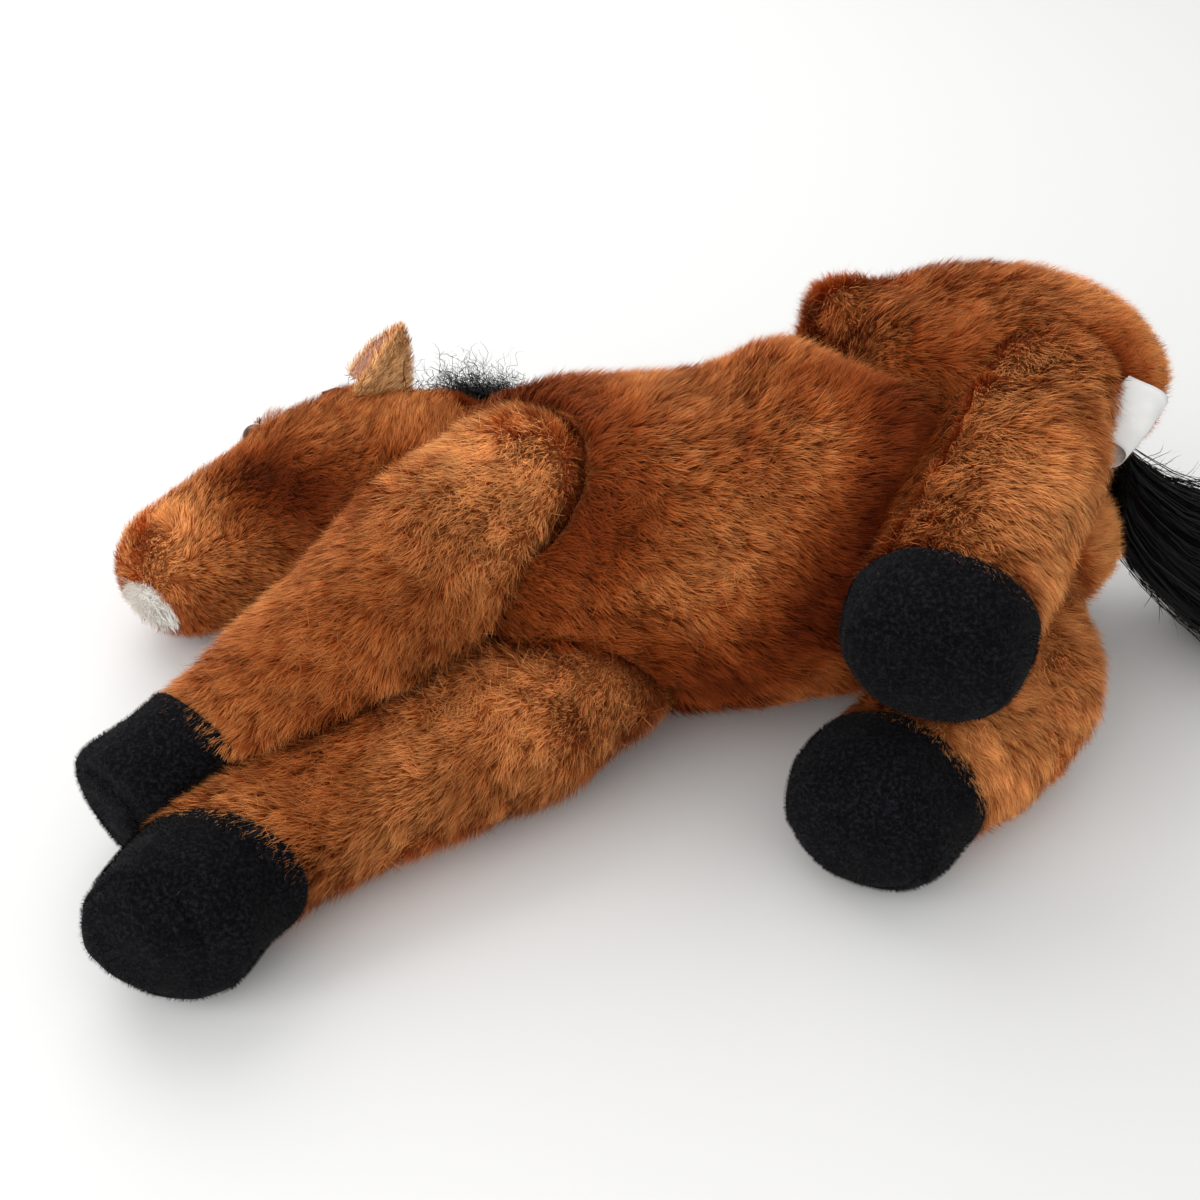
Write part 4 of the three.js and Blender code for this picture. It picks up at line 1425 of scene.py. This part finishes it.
def ear_leaf(name, side, share, forward, thickness):
    """A pointed leaf, folded about its length so that it opens towards its front."""
    root, rise, across, front = ear_axes(side)
    rows, columns, crook = 17, 17, 0.22
    widths = smooth_steps(np.array(EAR_WIDTHS)[:, None], rows)[:, 0] * sizes().ear_width * share / 2
    spreads = np.radians(np.linspace(26, 34, rows))
    grid = []
    for row, (width, spread) in enumerate(zip(widths, spreads)):
        up = (row / (rows - 1) * 1.1 - 0.1) * sizes().ear_length * (0.45 + 0.55 * share)
        for place in np.linspace(-1, 1, columns):
            far = math.hypot(place, crook) - crook
            aside = math.copysign(far, place) * width * math.sin(spread)
            deep = far * width * math.cos(spread) + forward - 0.3 * width
            grid.append(root + rise * up + across * aside + front * deep)
    leaf = sheet_piece(name, grid, columns)
    thick = leaf.modifiers.new("Solidify", "SOLIDIFY")
    thick.thickness = thickness
    thick.offset = 0
    add_subdivision(leaf, 1)
    apply_all(leaf)
    return leaf


class HORSE_OT_ears(bpy.types.Operator):
    """The ears, cupped and pointed, with a paler lining"""

    bl_idname = "horse.ears"
    bl_label = "Ears"

    def execute(self, context):
        for seed, side in enumerate(SIDES):
            body = f"ear_{side}"
            shell = ear_leaf(f"{body}_leaf", side, share=1.0, forward=0.0, thickness=2.2 * MM)
            cup = ear_leaf(f"{body}_cup", side, share=0.84, forward=1.9 * MM, thickness=0.8 * MM)
            bright, lining = toned(colours().tip, 0.7), tuple(colours().lining)
            # Neither the backing nor the lining has a dark attribute, so both take the lightest painted
            # light factor
            backing = shared("ear_backing", backing_material, bright, 60.0, 0.8)
            inner = shared("ear_lining", backing_material, toned(lining, 0.75), 80.0, 0.6)
            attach(give(shell, backing, "plush"), body)
            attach(give(cup, inner, "lining"), body)
            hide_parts(body)
            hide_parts(f"{body}_lining")
            rise = ear_axes(side)[1]
            hair = shared("lining_pile", lining_material, lining)
            for piece, other, made, slot, full, name in (
                (shell, cup, ear_plush(), "plush", 4.8 * MM, "plush"),
                (cup, shell, hair, "lining", 3.2 * MM, "lining"),
            ):
                surface = Surface(piece)
                surface.keep(~hidden_by(surface, other, within=2.5 * MM))
                pile(
                    f"{body}_{name}",
                    surface,
                    lambda points, normals: np.tile(rise, (len(points), 1)),
                    lambda points: np.full(len(points), full),
                    seed=700 + 10 * seed,
                    coats=(
                        (counts().long_pile * 1.4, sizes().strand, 1.0, 3),
                        (counts().short_pile, sizes().strand, 0.8, 2),
                    ),
                    made=made,
                    slot=slot,
                    body=body,
                    lift=0.55,
                    tuft=4 * MM,
                    # Painted light that sets the ears' pile lighter all over
                    shade=lambda points: np.full(len(points), 0.88),
                    glow=0.9,
                )
        return {"FINISHED"}


class HORSE_OT_label(bpy.types.Operator):
    """The bare satin label, folded into a loop"""

    bl_idname = "horse.label"
    bl_label = "Label"

    def execute(self, context):
        rise, out = (unit(np.array(way)) for way in LABEL_WAYS)
        out = unit(out - (out @ rise) * rise)
        through = np.cross(rise, out)
        around, columns, grid = 29, 13, []
        for turn in np.linspace(0.02, 0.98, around):
            far, side = math.sin(math.pi * turn) ** 0.75, math.sin(2 * math.pi * turn)
            for place in np.linspace(-0.5, 0.5, columns):
                aside = place * LABEL_WIDTH + 3 * MM * side
                curl = 2.2 * MM * far**2 * math.cos(3 * place)
                away = out * (far * LABEL_REACH - 3 * MM) - through * (5 * MM * side + curl)
                grid.append(LABEL_SEAM + away + rise * aside)
        label = sheet_piece("satin_label", grid, columns, flipped=True)
        points = points_of(label.data)
        waves = drift(points, 9 * MM, 61) * 0.6 * MM
        move_points(label.data, points + normals_of(label.data) * waves[:, None])
        thick = label.modifiers.new("Solidify", "SOLIDIFY")
        thick.thickness = 0.35 * MM
        apply_all(label)
        give(label, shared("satin", satin_material, tuple(colours().ribbon)), "label")
        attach(label, "torso")
        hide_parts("label")
        return {"FINISHED"}


class HORSE_OT_stage(bpy.types.Operator):
    """Floor, lights and camera"""

    bl_idname = "horse.stage"
    bl_label = "Stage"

    def execute(self, context):
        scene = context.scene
        bpy.ops.object.select_all(action="DESELECT")
        bpy.ops.mesh.primitive_plane_add(size=8, location=(0, 2, -0.0005))
        floor = context.object
        floor.name = "floor"
        floor.data.materials.append(Paint("floor_white").finished((0.8, 0.8, 0.79), {"Roughness": 0.6}))
        camera = bpy.data.cameras.new("camera")
        camera.sensor_width = 36
        camera.angle = math.radians(48)
        scene.camera = placed("camera", camera)
        scene.camera.location = (-0.0544, -0.4615, 0.4274)
        scene.camera.rotation_euler = (math.radians(50), 0, 0)
        for name, place, size, power in (
            ("window", (-0.6, 1.1, 1.4), 1.6, 17),
            ("fill", (-1.0, -1.0, 0.9), 1.6, 14),
        ):
            lamp = bpy.data.lights.new(name, "AREA")
            lamp.size = size
            lamp.energy = power
            stand = placed(name, lamp)
            stand.location = place
            towards = Vector((0, 0, 0.05)) - Vector(place)
            stand.rotation_euler = towards.to_track_quat("-Z", "Y").to_euler()
        scene.world = bpy.data.worlds.new("world")
        scene.world.use_nodes = True
        sky = scene.world.node_tree.nodes["Background"].inputs
        sky["Color"].default_value = (1, 1, 1, 1)
        sky["Strength"].default_value = 0.75
        scene.view_settings.view_transform = "Standard"
        return {"FINISHED"}


class HORSE_PT_panel(bpy.types.Panel):
    """Lists the steps that dress the horse"""

    bl_label = "Plush horse"
    bl_idname = "HORSE_PT_panel"
    bl_space_type = "VIEW_3D"
    bl_region_type = "UI"
    bl_category = "Plush horse"

    def draw(self, context):
        for operator in OPERATORS:
            self.layout.operator(operator.bl_idname)


OPERATORS = (
    HORSE_OT_stage,
    HORSE_OT_torso,
    HORSE_OT_head,
    HORSE_OT_legs,
    HORSE_OT_pile,
    HORSE_OT_velour,
    HORSE_OT_tail,
    HORSE_OT_mane,
    HORSE_OT_eyes,
    HORSE_OT_ears,
    HORSE_OT_label,
)
GROUPS = {"horse_sizes": HorseSizes, "horse_counts": HorseCounts, "horse_colours": HorseColours}


def register():
    for name, group in GROUPS.items():
        bpy.utils.register_class(group)
        setattr(bpy.types.Scene, name, PointerProperty(type=group))
    for operator in OPERATORS:
        bpy.utils.register_class(operator)
    bpy.utils.register_class(HORSE_PT_panel)


def unregister():
    bpy.utils.unregister_class(HORSE_PT_panel)
    for operator in reversed(OPERATORS):
        bpy.utils.unregister_class(operator)
    for name, group in GROUPS.items():
        delattr(bpy.types.Scene, name)
        bpy.utils.unregister_class(group)


def main():
    register()
    for operator in OPERATORS:
        getattr(bpy.ops.horse, operator.bl_idname.split(".")[1])()


if __name__ == "__main__":
    main()
